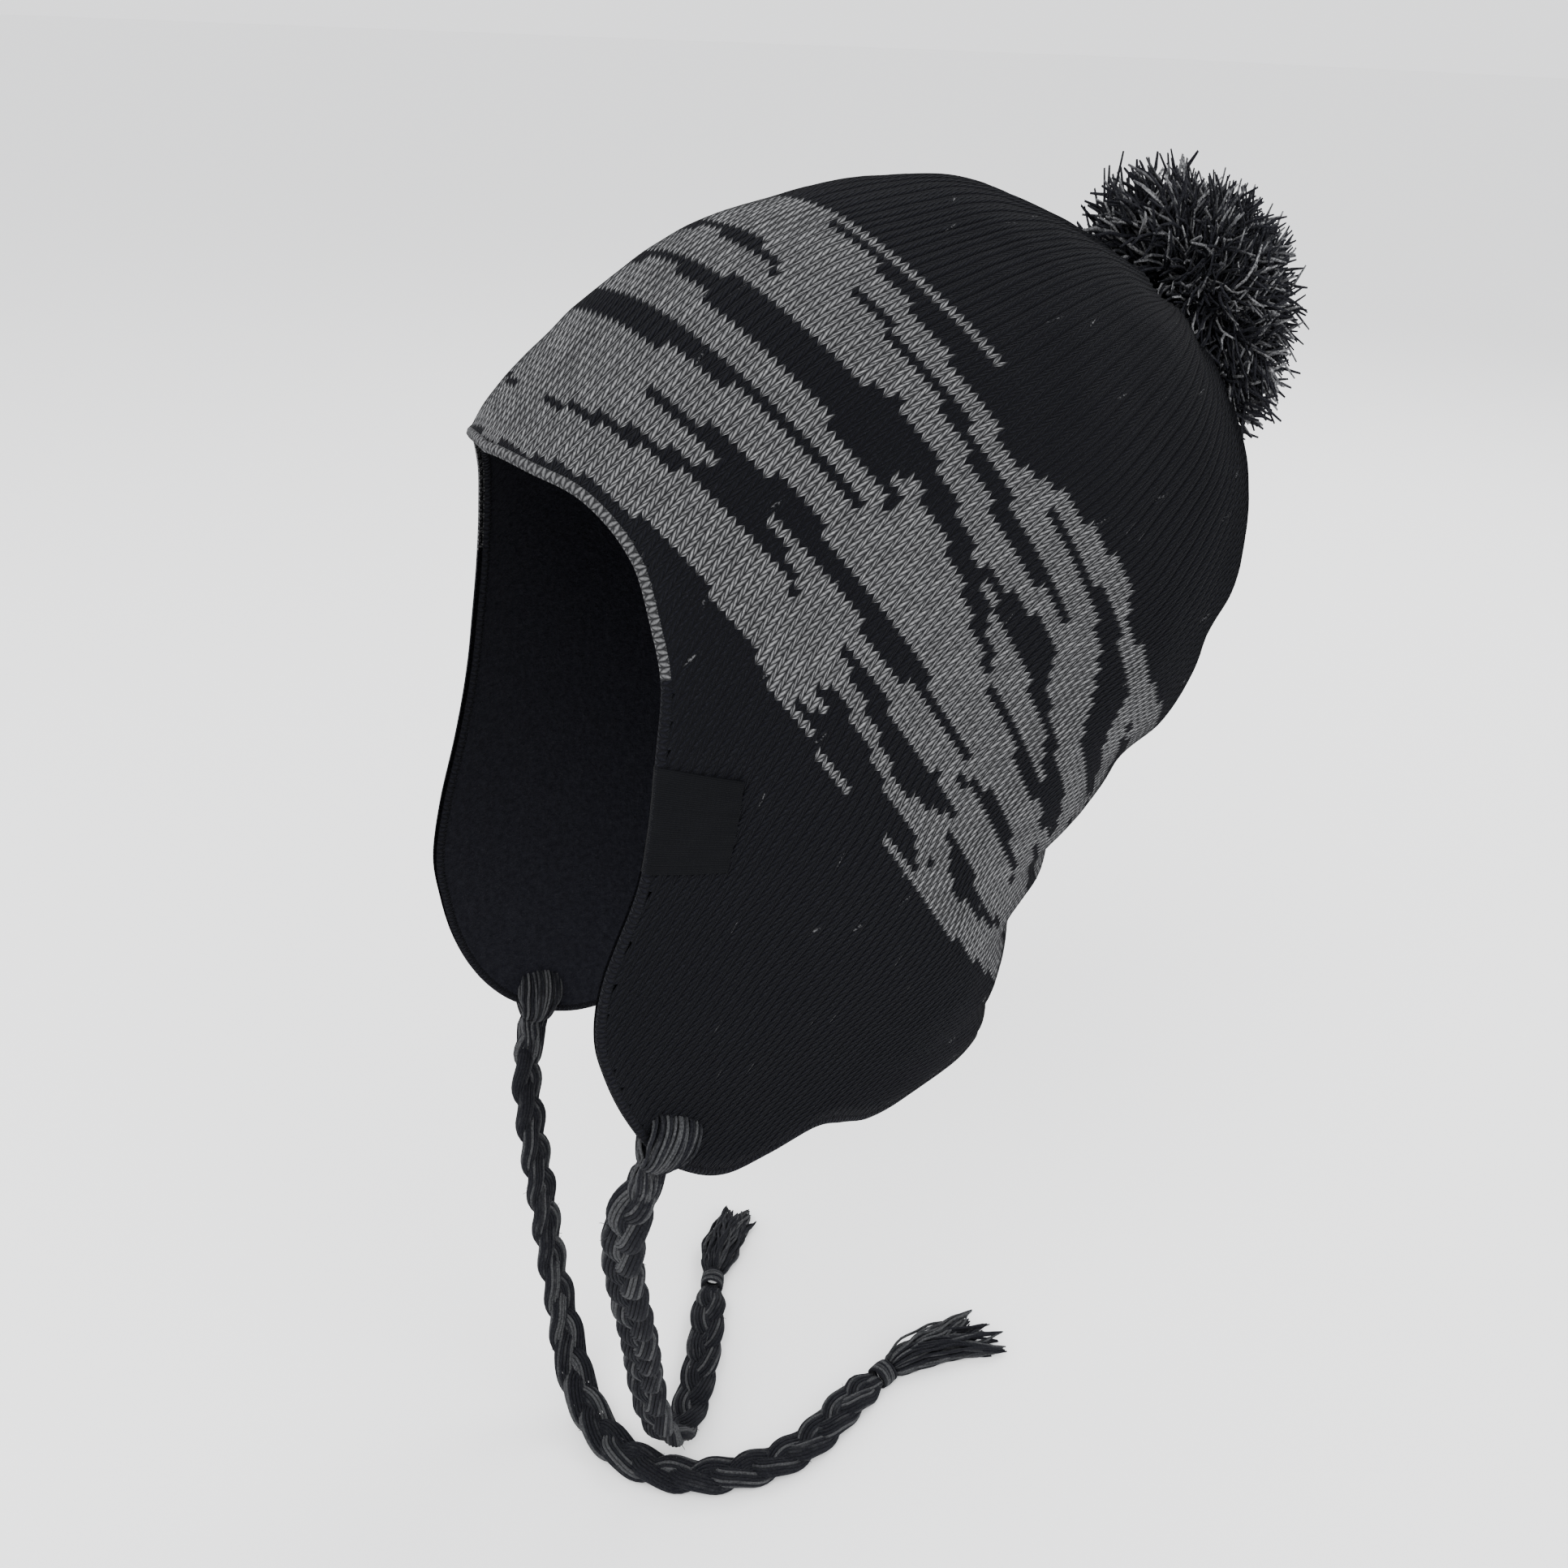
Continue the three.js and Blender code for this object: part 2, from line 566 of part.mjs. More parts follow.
function tasselGeometry(route, { bend, spread, reach }) {
  const end = routeEnd(route);
  const start = end.place.clone().addScaledVector(end.heading, 2 * GAP + BINDING.length);
  const headEnd = start.clone().addScaledVector(end.heading, TASSEL.headLength);
  const solids = [lockSolid(start, headEnd, BINDING.endRadius, TASSEL.headRadius)];
  const up = new THREE.Vector3(0, 0, 1);
  for (const lock of TASSEL_LOCKS) {
    const heading = end.heading.clone().applyAxisAngle(up, THREE.MathUtils.degToRad(lock.swing * spread + bend));
    const root = start.clone().addScaledVector(end.heading, TASSEL.headLength / 2);
    const tip = root.clone().addScaledVector(heading, lock.length * reach);
    tip.z -= lock.drop;
    solids.push(lockSolid(root, tip, TASSEL.root, TASSEL.tip));
  }
  return geometryFromSolid(fuse(solids));
}

const group = new THREE.Group();
const TIES = [
  { side: 'left', hem: 85.5, route: LEFT_TIE_ROUTE, fan: { bend: -12, spread: 0.45, reach: 0.85 } },
  { side: 'right', hem: -101, route: RIGHT_TIE_ROUTE, fan: { bend: -34, spread: 0.6, reach: 1 } },
];
const knit = TIES.reduce(
  (body, tie) => body.subtract(eyeletShaper(loopPlace(tie.hem))),
  solidOf(knitGeometry()),
);
addPiece(group, 'knit_body', geometryFromSolid(knit), yarn(BLACK_YARN));
addPiece(group, 'pompom', pompomGeometry(), yarn(BLACK_YARN));
addPiece(group, 'side_label', labelGeometry(), yarn(LABEL_CLOTH, 0.7));

for (const { side, hem, route, fan } of TIES) {
  addPiece(group, `${side}_tie_loop`, loopGeometry(loopPlace(hem)), yarn(MIXED_YARN));
  addPiece(group, `${side}_tie_braid`, braidGeometry(route), yarn(MIXED_YARN));
  addBinding(group, `${side}_tie_binding`, route);
  addPiece(group, `${side}_tie_tassel`, tasselGeometry(route, fan), yarn(MIXED_YARN));
}

export default group;
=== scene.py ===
"""Earflap beanie: jacquard knit with grey streaks, shaggy pompom, bare folded label and braided ties."""

import math
import random

import bmesh
import bpy
import numpy as np
from mathutils import Matrix, Vector, noise


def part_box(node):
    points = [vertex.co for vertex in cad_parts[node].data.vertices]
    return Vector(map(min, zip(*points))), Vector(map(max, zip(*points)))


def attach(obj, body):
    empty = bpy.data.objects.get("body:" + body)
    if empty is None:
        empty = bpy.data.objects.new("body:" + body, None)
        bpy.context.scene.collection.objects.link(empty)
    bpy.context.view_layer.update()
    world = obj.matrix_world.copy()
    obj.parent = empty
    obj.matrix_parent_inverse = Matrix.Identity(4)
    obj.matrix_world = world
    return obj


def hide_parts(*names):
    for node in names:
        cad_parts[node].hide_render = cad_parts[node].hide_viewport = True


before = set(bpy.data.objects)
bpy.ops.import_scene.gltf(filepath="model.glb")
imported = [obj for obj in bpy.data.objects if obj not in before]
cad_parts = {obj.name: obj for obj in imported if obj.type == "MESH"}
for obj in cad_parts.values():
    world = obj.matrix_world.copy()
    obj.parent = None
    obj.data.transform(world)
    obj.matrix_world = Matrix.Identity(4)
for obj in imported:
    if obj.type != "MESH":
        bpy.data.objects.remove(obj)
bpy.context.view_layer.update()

# Sizes of the knit, in millimetres, as the solids have them
MM = 0.001
WALL = 3.6
COURSE_COLUMNS = ("course", "front_y", "front_z", "back_y", "back_z", "half_width", "taper", "lean")
COURSES = np.array(
    [
        (-1.2, -150, -190, -10, -350, 64, 0.05, 0),
        (-0.8, -136, -150, 18, -335, 68, 0.06, 0),
        (-0.4, -116, -104, 46, -316, 74, 0.08, 0),
        (0.0, -97, -61, 74, -292, 80, 0.1, 0),
        (0.2, -77, -41, 81, -249, 83, 0.12, 0),
        (0.4, -39, -13, 101, -211, 84, 0.12, 2),
        (0.6, 0, 0, 130, -179, 80, 0.1, 5),
        (0.8, 45, 2, 154, -134, 63, 0.05, 8),
        (0.93, 89, -13, 151, -83, 36, 0, 10),
        (1.0, 114, -27, 131, -46, 9, 0, 10),
    ]
)
# The lower edge: angle from the brow, and its course round the wearer's left and right
EDGE = np.array(
    [
        (0, 0.0, 0.0), (13, 0.02, 0.02), (25, 0.05, 0.05), (36, 0.03, 0.03), (43, -0.04, -0.04),
        (48, -0.12, -0.14), (52, -0.26, -0.27), (56, -0.4, -0.42), (59, -0.53, -0.57),
        (61.5, -0.74, -0.74), (65, -0.88, -0.9), (70, -0.96, -1.0), (77, -1.025, -1.1),
        (85, -1.06, -1.165), (93, -1.045, -1.18), (100, -0.975, -1.15), (105, -0.83, -1.1),
        (110, -0.665, -1.01), (116, -0.59, -0.83), (123, -0.52, -0.58), (130, -0.385, -0.34),
        (137, -0.18, -0.14), (146, -0.02, 0.0), (180, 0.02, 0.02),
    ]
)
# Creases behind the head: height at the back, depth, half height, climb towards the ears
CREASES = [(-134, 5, 8, 10), (-176, 4, 8, 18), (-202, 4.5, 8, 6), (-228, 3.5, 7, 14), (-258, 2.5, 7, 4)]
CREASE_START = 1.9
CREASE_FULL = 2.7
GATHER_COUNT = 14
GATHER_DEPTH = 1.6
GATHER_START = 0.8

# Knitting gauge: wales round the hat, and the height of a course of stitches
WALES = 224
COURSE_HEIGHT = 2.6
STITCH_SLANT = 0.75

# The ties, in metres, from under each loop to the binding
LEFT_TIE_ROUTE = [
    (0.0630, -0.0824, -0.2623), (0.0623, -0.0850, -0.2690), (0.0608, -0.0876, -0.2775),
    (0.0579, -0.0878, -0.2885), (0.0540, -0.0862, -0.3010), (0.0495, -0.0825, -0.3175),
    (0.0452, -0.0784, -0.3340), (0.0410, -0.0742, -0.3500), (0.0355, -0.0702, -0.3660),
    (0.0305, -0.0664, -0.3820), (0.0278, -0.0622, -0.4010), (0.0244, -0.0558, -0.4180),
    (0.0184, -0.0478, -0.4275), (0.0110, -0.0395, -0.4320), (0.0035, -0.0320, -0.4333),
    (-0.0048, -0.0250, -0.4333), (-0.0132, -0.0184, -0.4333), (-0.0225, -0.0115, -0.4333),
    (-0.0325, -0.0050, -0.4333), (-0.0426, 0.0022, -0.4333),
]
RIGHT_TIE_ROUTE = [
    (-0.0602, -0.0658, -0.2905), (-0.0592, -0.0679, -0.2965), (-0.0570, -0.0698, -0.3040),
    (-0.0544, -0.0710, -0.3130), (-0.0515, -0.0714, -0.3240), (-0.0487, -0.0714, -0.3360),
    (-0.0464, -0.0710, -0.3480), (-0.0440, -0.0704, -0.3610), (-0.0410, -0.0704, -0.3740),
    (-0.0370, -0.0703, -0.3870), (-0.0330, -0.0698, -0.3990), (-0.0280, -0.0698, -0.4110),
    (-0.0205, -0.0704, -0.4215), (-0.0120, -0.0703, -0.4285), (-0.0030, -0.0696, -0.4325),
    (0.0065, -0.0686, -0.4333), (0.0158, -0.0658, -0.4333), (0.0245, -0.0605, -0.4333),
    (0.0320, -0.0535, -0.4333), (0.0380, -0.0440, -0.4333), (0.0420, -0.0335, -0.4333),
    (0.0443, -0.0220, -0.4333), (0.0443, -0.0105, -0.4333), (0.0420, 0.0010, -0.4333),
    (0.0380, 0.0120, -0.4333), (0.0343, 0.0225, -0.4333), (0.0315, 0.0345, -0.4333),
]
SURFACE = -0.44
# A braid's strands wander this far either way across it and through it, once in each turn's length
BRAID_HALF_WIDTH = 0.0034
BRAID_HALF_THICKNESS = 0.0012
BRAID_TURN = 0.044
# The share of its width that a braid keeps at its gathered ends, and how far the gathering reaches
BRAID_GATHERED = 0.45
BRAID_GATHERING = (0.014, 0.010)
BRAID_STEP = 0.0017
# The braid is thinner than the cord that stands for it, so where it lies it settles onto the surface
BRAID_SETTLE = 0.0024
# Each strand is a bundle of thin yarns, wider than thick
BUNDLE_YARNS = 16
BUNDLE_HALF_WIDTH = 0.0033
BUNDLE_HALF_THICKNESS = 0.0020
BUNDLE_TWIST = 0.2
YARN_RADIUS = 0.00060
# How little a strand's swing dwells at the braid's edges: 1 is an even wave
BRAID_DWELL = 0.3
# Depths below the origin between which a tie turns from hanging to lying
LYING = (0.385, 0.43)
# Loose fibres of a braid: how many, their radius, their length, their curl, and how far they lie down
HAIRS = 150
HAIR_RADIUS = 0.00011
HAIR_REACH = (0.003, 0.0065)
HAIR_CURL = (0.2, 1.1)
HAIR_LIE = 0.9

# The grey band and its streaks. Each row is an angle from the brow in degrees, the course at the streak's
# middle there and half of its height in courses. The wearer's right mirrors the left.
BAND = [
    (0, 0.285, 0.273), (12, 0.285, 0.253), (20, 0.3, 0.232), (30, 0.3, 0.219), (40, 0.3, 0.204),
    (50, 0.286, 0.208), (57, 0.275, 0.21), (63, 0.275, 0.205), (67, 0.297, 0.206), (72, 0.32, 0.196),
    (80, 0.313, 0.217), (88, 0.315, 0.23), (95, 0.27, 0.25), (104, 0.28, 0.245), (115, 0.297, 0.243),
    (130, 0.32, 0.24), (150, 0.31, 0.225), (180, 0.32, 0.21),
]
GREY_STREAKS = [
    [(0, 0.555, 0.004), (16, 0.551, 0.007), (30, 0.552, 0.006), (42, 0.546, 0.006), (50, 0.543, 0.003)],
    [(56, 0.066, 0.008), (62, 0.054, 0.008), (70, 0.042, 0.007), (77, 0.028, 0.003)],
    [(83, 0.036, 0.004), (88, 0.034, 0.009), (94, 0.042, 0.014)],
]
BLACK_STREAKS = [
    [(-3, 0.452, 0.008), (5, 0.443, 0.012), (13, 0.435, 0.012), (21, 0.423, 0.002)],
    [
        (0, 0.368, 0.002), (8, 0.367, 0.01), (16, 0.366, 0.019), (25, 0.368, 0.02), (33, 0.366, 0.023),
        (41, 0.366, 0.027), (46, 0.373, 0.037), (51, 0.37, 0.034), (55, 0.382, 0.016),
        (66, 0.364, 0.015), (75, 0.34, 0.013), (83, 0.315, 0.002),
    ],
    [(46, 0.345, 0.018), (50, 0.345, 0.016), (56, 0.331, 0.002)],
    [
        (-17, 0.308, 0.008), (-1, 0.296, 0.017), (6, 0.291, 0.014), (14, 0.295, 0.014),
        (22, 0.296, 0.014), (30, 0.302, 0.008), (38, 0.307, 0.005), (46, 0.304, 0.003),
        (54, 0.3, 0.003),
    ],
    [
        (5, 0.133, 0.003), (14, 0.155, 0.008), (22, 0.174, 0.009), (30, 0.186, 0.01),
        (38, 0.206, 0.011), (45, 0.206, 0.018), (50, 0.199, 0.012), (55, 0.186, 0.002),
    ],
    [
        (20, 0.233, 0.002), (28, 0.237, 0.006), (33, 0.238, 0.011), (38, 0.236, 0.019),
        (44, 0.238, 0.021), (51, 0.245, 0.014), (59, 0.24, 0.014), (66, 0.236, 0.016),
        (74, 0.235, 0.013), (84, 0.234, 0.006), (90, 0.23, 0.002),
    ],
    [
        (62, 0.192, 0.004), (68, 0.178, 0.013), (75, 0.162, 0.018), (80, 0.15, 0.028),
        (87, 0.158, 0.025), (94, 0.176, 0.003),
    ],
    [
        (30, 0.471, 0.003), (38, 0.465, 0.006), (46, 0.46, 0.008), (54, 0.45, 0.01),
        (62, 0.438, 0.013), (70, 0.428, 0.014), (78, 0.43, 0.01), (87, 0.439, 0.002),
    ],
    [
        (71, 0.372, 0.003), (78, 0.373, 0.014), (84, 0.378, 0.022), (89, 0.376, 0.025),
        (93, 0.358, 0.012), (100, 0.346, 0.008), (108, 0.328, 0.018), (116, 0.315, 0.026),
        (124, 0.31, 0.01),
    ],
    [
        (71, 0.485, 0.002), (79, 0.484, 0.01), (88, 0.489, 0.01), (95, 0.481, 0.018),
        (102, 0.462, 0.032), (109, 0.442, 0.046), (116, 0.412, 0.022), (126, 0.408, 0.012),
        (136, 0.4, 0.003),
    ],
    [
        (90, 0.204, 0.002), (96, 0.228, 0.006), (104, 0.226, 0.013), (112, 0.221, 0.011),
        (121, 0.213, 0.003),
    ],
    [
        (94, 0.148, 0.003), (101, 0.12, 0.024), (106, 0.122, 0.02), (113, 0.124, 0.01),
        (122, 0.146, 0.004),
    ],
    [(85, 0.302, 0.002), (94, 0.302, 0.007), (103, 0.299, 0.011), (112, 0.3, 0.004)],
    [(64, 0.118, 0.004), (67, 0.116, 0.02), (71, 0.108, 0.014), (75, 0.1, 0.004)],
    [(82, 0.082, 0.002), (88, 0.074, 0.006), (94, 0.081, 0.002)],
    [
        (120, 0.27, 0.003), (132, 0.262, 0.014), (146, 0.25, 0.018), (160, 0.246, 0.012),
        (176, 0.25, 0.003),
    ],
    [
        (128, 0.35, 0.003), (142, 0.345, 0.012), (156, 0.336, 0.02), (170, 0.34, 0.012),
        (180, 0.345, 0.008),
    ],
    [
        (118, 0.48, 0.003), (134, 0.472, 0.016), (150, 0.45, 0.024), (166, 0.442, 0.014),
        (180, 0.44, 0.01),
    ],
    [
        (130, 0.16, 0.003), (142, 0.165, 0.012), (156, 0.172, 0.016), (172, 0.168, 0.006),
        (180, 0.166, 0.004),
    ],
]

# Yarn and cloth colours, linear
BLACK_YARN = (0.0034, 0.0035, 0.0054)
BLACK_LIGHT = (0.0085, 0.0088, 0.0120)
GREY_YARN = (0.185, 0.186, 0.190)
GREY_DARK = (0.100, 0.101, 0.105)
GREY_LIGHT = (0.290, 0.292, 0.296)
# Painted shade: the rolled hem's grey is the band's heather multiplied by this
HEM_PAINTED_SHADE = (0.62, 0.62, 0.62)
# Painted shade: the near black that the gaps between stitch legs are darkened towards
GAP_PAINTED_SHADE = (0.0030, 0.0030, 0.0040)
TIE_DARK = (0.0150, 0.0155, 0.0170)
TIE_LIGHT = (0.0520, 0.0530, 0.0550)
POMPOM_DARK = (0.0130, 0.0134, 0.0165)
POMPOM_LIGHT = (0.2200, 0.2210, 0.2260)
# The woven label's own dark colour, with painted shade in the weave's grooves against lighter rib tops
LABEL_DARK = (0.0012, 0.0013, 0.0018)
LABEL_LIGHT = (0.0036, 0.0038, 0.0048)


def smoothstep(value, low, high):
    share = np.clip((value - low) / (high - low), 0, 1)
    return share * share * (3 - 2 * share)


def along(table, at, column):
    """Value of a column on the smooth curve through a table's rows, keyed by its first column."""
    keys = table[:, 0]
    values = table[:, column]
    last = len(keys) - 1
    row = np.clip(np.searchsorted(keys, at, side="left") - 1, 0, last - 1)
    before = np.maximum(row - 1, 0)
    after = np.minimum(row + 2, last)
    span = keys[row + 1] - keys[row]
    share = np.clip((at - keys[row]) / span, 0, 1)
    slope_in = (values[row + 1] - values[before]) / (keys[row + 1] - keys[before]) * span
    slope_out = (values[after] - values[row]) / (keys[after] - keys[row]) * span
    square = share * share
    cube = square * share
    return (
        values[row] * (2 * cube - 3 * square + 1)
        + slope_in * (cube - 2 * square + share)
        + values[row + 1] * (3 * square - 2 * cube)
        + slope_out * (cube - square)
    )


def edge_course(angle):
    """Course of the knit's lower edge at an angle round the hat."""
    turned = np.degrees(wrap(angle))
    return np.where(turned < 0, along(EDGE, np.abs(turned), 2), along(EDGE, np.abs(turned), 1))


def wrap(angle):
    return (np.asarray(angle, float) + math.pi) % (2 * math.pi) - math.pi


def form_point(angle, course):
    """Points of the knit's smooth outer form, in millimetres."""
    angle = np.asarray(angle, float)
    course = np.asarray(course, float)
    column = {name: along(COURSES, course, place) for place, name in enumerate(COURSE_COLUMNS)}
    front = (1 + np.cos(angle)) / 2
    x = column["half_width"] * np.sin(angle) * (1 + column["taper"] * np.cos(angle)) + column["lean"]
    y = column["back_y"] + (column["front_y"] - column["back_y"]) * front
    z = column["back_z"] + (column["front_z"] - column["back_z"]) * front
    return np.stack([x, y, z], axis=-1)


def form_normal(angle, course):
    turn = 0.02
    climb = 0.01
    around = form_point(angle + turn, course) - form_point(angle - turn, course)
    up = form_point(angle, np.minimum(course + climb, 1)) - form_point(angle, course - climb)
    out = np.cross(around, up)
    return out / np.linalg.norm(out, axis=-1, keepdims=True)


def draw_in(angle, course, height):
    """How far creases and gathers draw the knit in from its smooth form."""
    behind = smoothstep(np.abs(wrap(angle)), CREASE_START, CREASE_FULL)
    depth = np.zeros_like(height)
    for level, deep, half, climb in CREASES:
        away = (height - level - climb * (1 - behind)) / half
        depth += deep * behind * np.exp(-away * away)
    near_tip = smoothstep(course, GATHER_START, 1)
    return depth + GATHER_DEPTH * near_tip * (1 + np.cos(GATHER_COUNT * angle)) / 2


def knit_point(angle, course, outside=0.0):
    """Points of the knit at a distance outside its outer face, in millimetres."""
    angle = np.asarray(angle, float)
    course = np.asarray(course, float)
    point = form_point(angle, course)
    inward = draw_in(angle, course, point[..., 2])
    return point + form_normal(angle, course) * (outside - inward)[..., None]


# Making pieces


def piece_from(name, points, faces, materials, smooth=True):
    """A mesh object from points in metres."""
    mesh = bpy.data.meshes.new(name)
    mesh.from_pydata([tuple(p) for p in points], [], faces)
    for material in materials:
        mesh.materials.append(material)
    if smooth:
        mesh.shade_smooth()
    piece = bpy.data.objects.new(name, mesh)
    bpy.context.scene.collection.objects.link(piece)
    return piece


def finish_piece(piece, slot, *nodes):
    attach(piece, "root")
    if nodes:
        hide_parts(*nodes)
    return piece


def smooth_route(points, step):
    """Even points on one smooth curve through a route, step apart, with their headings."""
    route = [Vector(p) for p in points]
    ends = [route[0] * 2 - route[1], *route, route[-1] * 2 - route[-2]]
    dense = []
    pieces_between = 12
    for place in range(1, len(ends) - 2):
        a, b, c, d = ends[place - 1 : place + 3]
        for part in range(pieces_between):
            t = part / pieces_between
            second = (2 * a - 5 * b + 4 * c - d) * t * t
            third = (3 * b - a - 3 * c + d) * t**3
            dense.append(0.5 * (2 * b + (c - a) * t + second + third))
    dense.append(route[-1])
    lengths = [0.0]
    for before, after in zip(dense, dense[1:]):
        lengths.append(lengths[-1] + (after - before).length)
    count = max(2, round(lengths[-1] / step))
    places = []
    at = 0
    for number in range(count + 1):
        wanted = lengths[-1] * number / count
        while at < len(dense) - 2 and lengths[at + 1] < wanted:
            at += 1
        share = (wanted - lengths[at]) / max(lengths[at + 1] - lengths[at], 1e-9)
        places.append(dense[at].lerp(dense[at + 1], min(share, 1)))
    headings = [(places[min(i + 1, count)] - places[max(i - 1, 0)]).normalized() for i in range(count + 1)]
    return places, headings, lengths[-1]


def tube_faces(rings, sides, closed, points):
    """Faces of a tube through rings of points, with its ends closed to middles where it is open."""
    faces = []
    last = rings if closed else rings - 1
    for ring in range(last):
        here = ring * sides
        there = ((ring + 1) % rings) * sides
        for side in range(sides):
            after = (side + 1) % sides
            faces.append((here + side, here + after, there + after, there + side))
    if not closed:
        for first, turned in ((0, True), ((rings - 1) * sides, False)):
            middle = sum((points[first + side] for side in range(sides)), Vector()) / sides
            points.append(middle)
            for side in range(sides):
                after = (side + 1) % sides
                corner = (first + side, first + after, len(points) - 1)
                faces.append(corner[::-1] if turned else corner)
    return faces


def strand_tubes(lines, radius, sides=6, closed=False, ends=1.0):
    """One mesh's points, faces and each point's strand number and place along it, from lines of points.

    Radius is one number or one for each line. Ends is the share of the radius left at open ends.
    """
    points, faces, numbers, places = [], [], [], []
    for number, line in enumerate(lines):
        thick = radius[number] if isinstance(radius, list) else radius
        count = len(line)
        own = []
        travelled = 0.0
        across = None
        run = []
        for i, point in enumerate(line):
            ahead = line[(i + 1) % count] if closed else line[min(i + 1, count - 1)]
            behind = line[i - 1] if closed or i else line[0]
            heading = (ahead - behind).normalized()
            if across is None:
                across = heading.orthogonal().normalized()
            across = (across - heading * across.dot(heading)).normalized()
            other = heading.cross(across)
            if i:
                travelled += (point - line[i - 1]).length
            taper = 1.0
            if not closed and i in (0, count - 1):
                taper = ends
            for side in range(sides):
                turn = side / sides * 2 * math.pi
                own.append(point + (across * math.cos(turn) + other * math.sin(turn)) * thick * taper)
                run.append(travelled)
        local = tube_faces(count, sides, closed, own)
        while len(run) < len(own):
            run.append(travelled)
        base = len(points)
        faces.extend([tuple(base + corner for corner in face) for face in local])
        points.extend(own)
        numbers.extend([number] * len(own))
        places.extend(run)
    return points, faces, numbers, places


def give_number(piece, name, values, domain="POINT"):
    """A number for each point or face, for the materials to read."""
    attribute = piece.data.attributes.new(name, "FLOAT", domain)
    attribute.data.foreach_set("value", np.asarray(values, dtype=np.float32))


# Materials


# Noise over yarn and cloth: how fine it is, its detail and its roughness
KNIT_FLECKS = (1300.0, 2.0, 0.6)
HEM_FLECKS = (1500.0, 3.0, 0.65)
YARN_FLECKS = (1700.0, 3.0, 0.7)
STRAND_DRIFT = (120.0, 2.0, 0.6)
LINING_CLOUDS = (500.0, 4.0, 0.6)
LABEL_WEAR = (160.0, 3.0, 0.6)
FUZZ_CLOUDS = (900.0, 3.0, 0.6)
LONG_FIBRES = (3800.0, 3.0, 0.7)
CROSS_FIBRES = (3300.0, 3.0, 0.7)
# How closely the fibres' waves come, and how far they carry a fibre, in metres
FIBRE_WAVES = 260.0
FIBRE_WANDER = (0.0035, 0.0035, 0.0035)
# How deep each material's bump is, in metres
KNIT_BUMP = 0.0016
LINING_BUMP = 0.0012
HEM_BUMP = 0.0011
YARN_BUMP = 0.0003
LABEL_BUMP = 0.00022
# A black stitch whose number from 0 to 1 is above this lets some grey show
SPECK_FROM = 0.994
# The label's ribs and its weft come this far apart, in metres
RIB_PITCH = 0.0006
WEFT_PITCH = 0.0009


class Wiring:
    """Short words for laying out a material's or a group's nodes."""

    def __init__(self, tree):
        self.tree = tree
        self.column = 0

    def add(self, kind, **settings):
        node = self.tree.nodes.new(kind)
        node.location = (self.column * 190, -((self.column * 97) % 600))
        self.column += 1
        for key, value in settings.items():
            setattr(node, key, value)
        return node

    def link(self, source, target):
        self.tree.links.new(source, target)

    def put(self, socket, value):
        if isinstance(value, bpy.types.NodeSocket):
            self.link(value, socket)
        else:
            socket.default_value = value

    def node(self, kind, inputs, **settings):
        """A node of a kind, with a value or another node's output put into each input named."""
        node = self.add(kind, **settings)
        for name, value in inputs.items():
            self.put(node.inputs[name], value)
        return node

    def math(self, operation, *values):
        node = self.add("ShaderNodeMath", operation=operation)
        for place, value in enumerate(values):
            self.put(node.inputs[place], value)
        return node.outputs[0]

    def add_up(self, a, b):
        return self.math("ADD", a, b)

    def times(self, a, b):
        return self.math("MULTIPLY", a, b)

    def mix(self, share, a, b, blend="MIX"):
        inputs = {"Factor": share, 6: colour(a), 7: colour(b)}
        return self.node("ShaderNodeMix", inputs, data_type="RGBA", blend_type=blend).outputs[2]

    def noise(self, vector, scale, detail=2.0, rough=0.5):
        inputs = {"Vector": vector, "Scale": scale, "Detail": detail, "Roughness": rough}
        return self.node("ShaderNodeTexNoise", inputs).outputs["Fac"]

    def scaled(self, vector, scale):
        return self.node("ShaderNodeVectorMath", {0: vector, "Scale": scale}, operation="SCALE").outputs[0]

    def spread(self, value, low, high, to_low=0.0, to_high=1.0):
        inputs = {"Value": value, "From Min": low, "From Max": high, "To Min": to_low, "To Max": to_high}
        return self.node("ShaderNodeMapRange", inputs).outputs["Result"]

    def place(self):
        return self.add("ShaderNodeTexCoord").outputs["Object"]

    def uv(self, name):
        return self.add("ShaderNodeUVMap", uv_map=name).outputs[0]

    def attribute(self, name):
        return self.add("ShaderNodeAttribute", attribute_name=name).outputs["Fac"]


def colour(value):
    return (*value, 1.0) if isinstance(value, tuple) and len(value) == 3 else value


def new_group(name, inputs, outputs, tree_kind="ShaderNodeTree"):
    """An empty node group with its sockets; each socket is (name, kind) or (name, kind, value)."""
    tree = bpy.data.node_groups.new(name, tree_kind)
    for direction, sockets in (("INPUT", inputs), ("OUTPUT", outputs)):
        for label, kind, *value in sockets:
            socket = tree.interface.new_socket(label, in_out=direction, socket_type=f"NodeSocket{kind}")
            if value:
                socket.default_value = value[0]
    wires = Wiring(tree)
    return tree, wires, wires.add("NodeGroupInput"), wires.add("NodeGroupOutput")


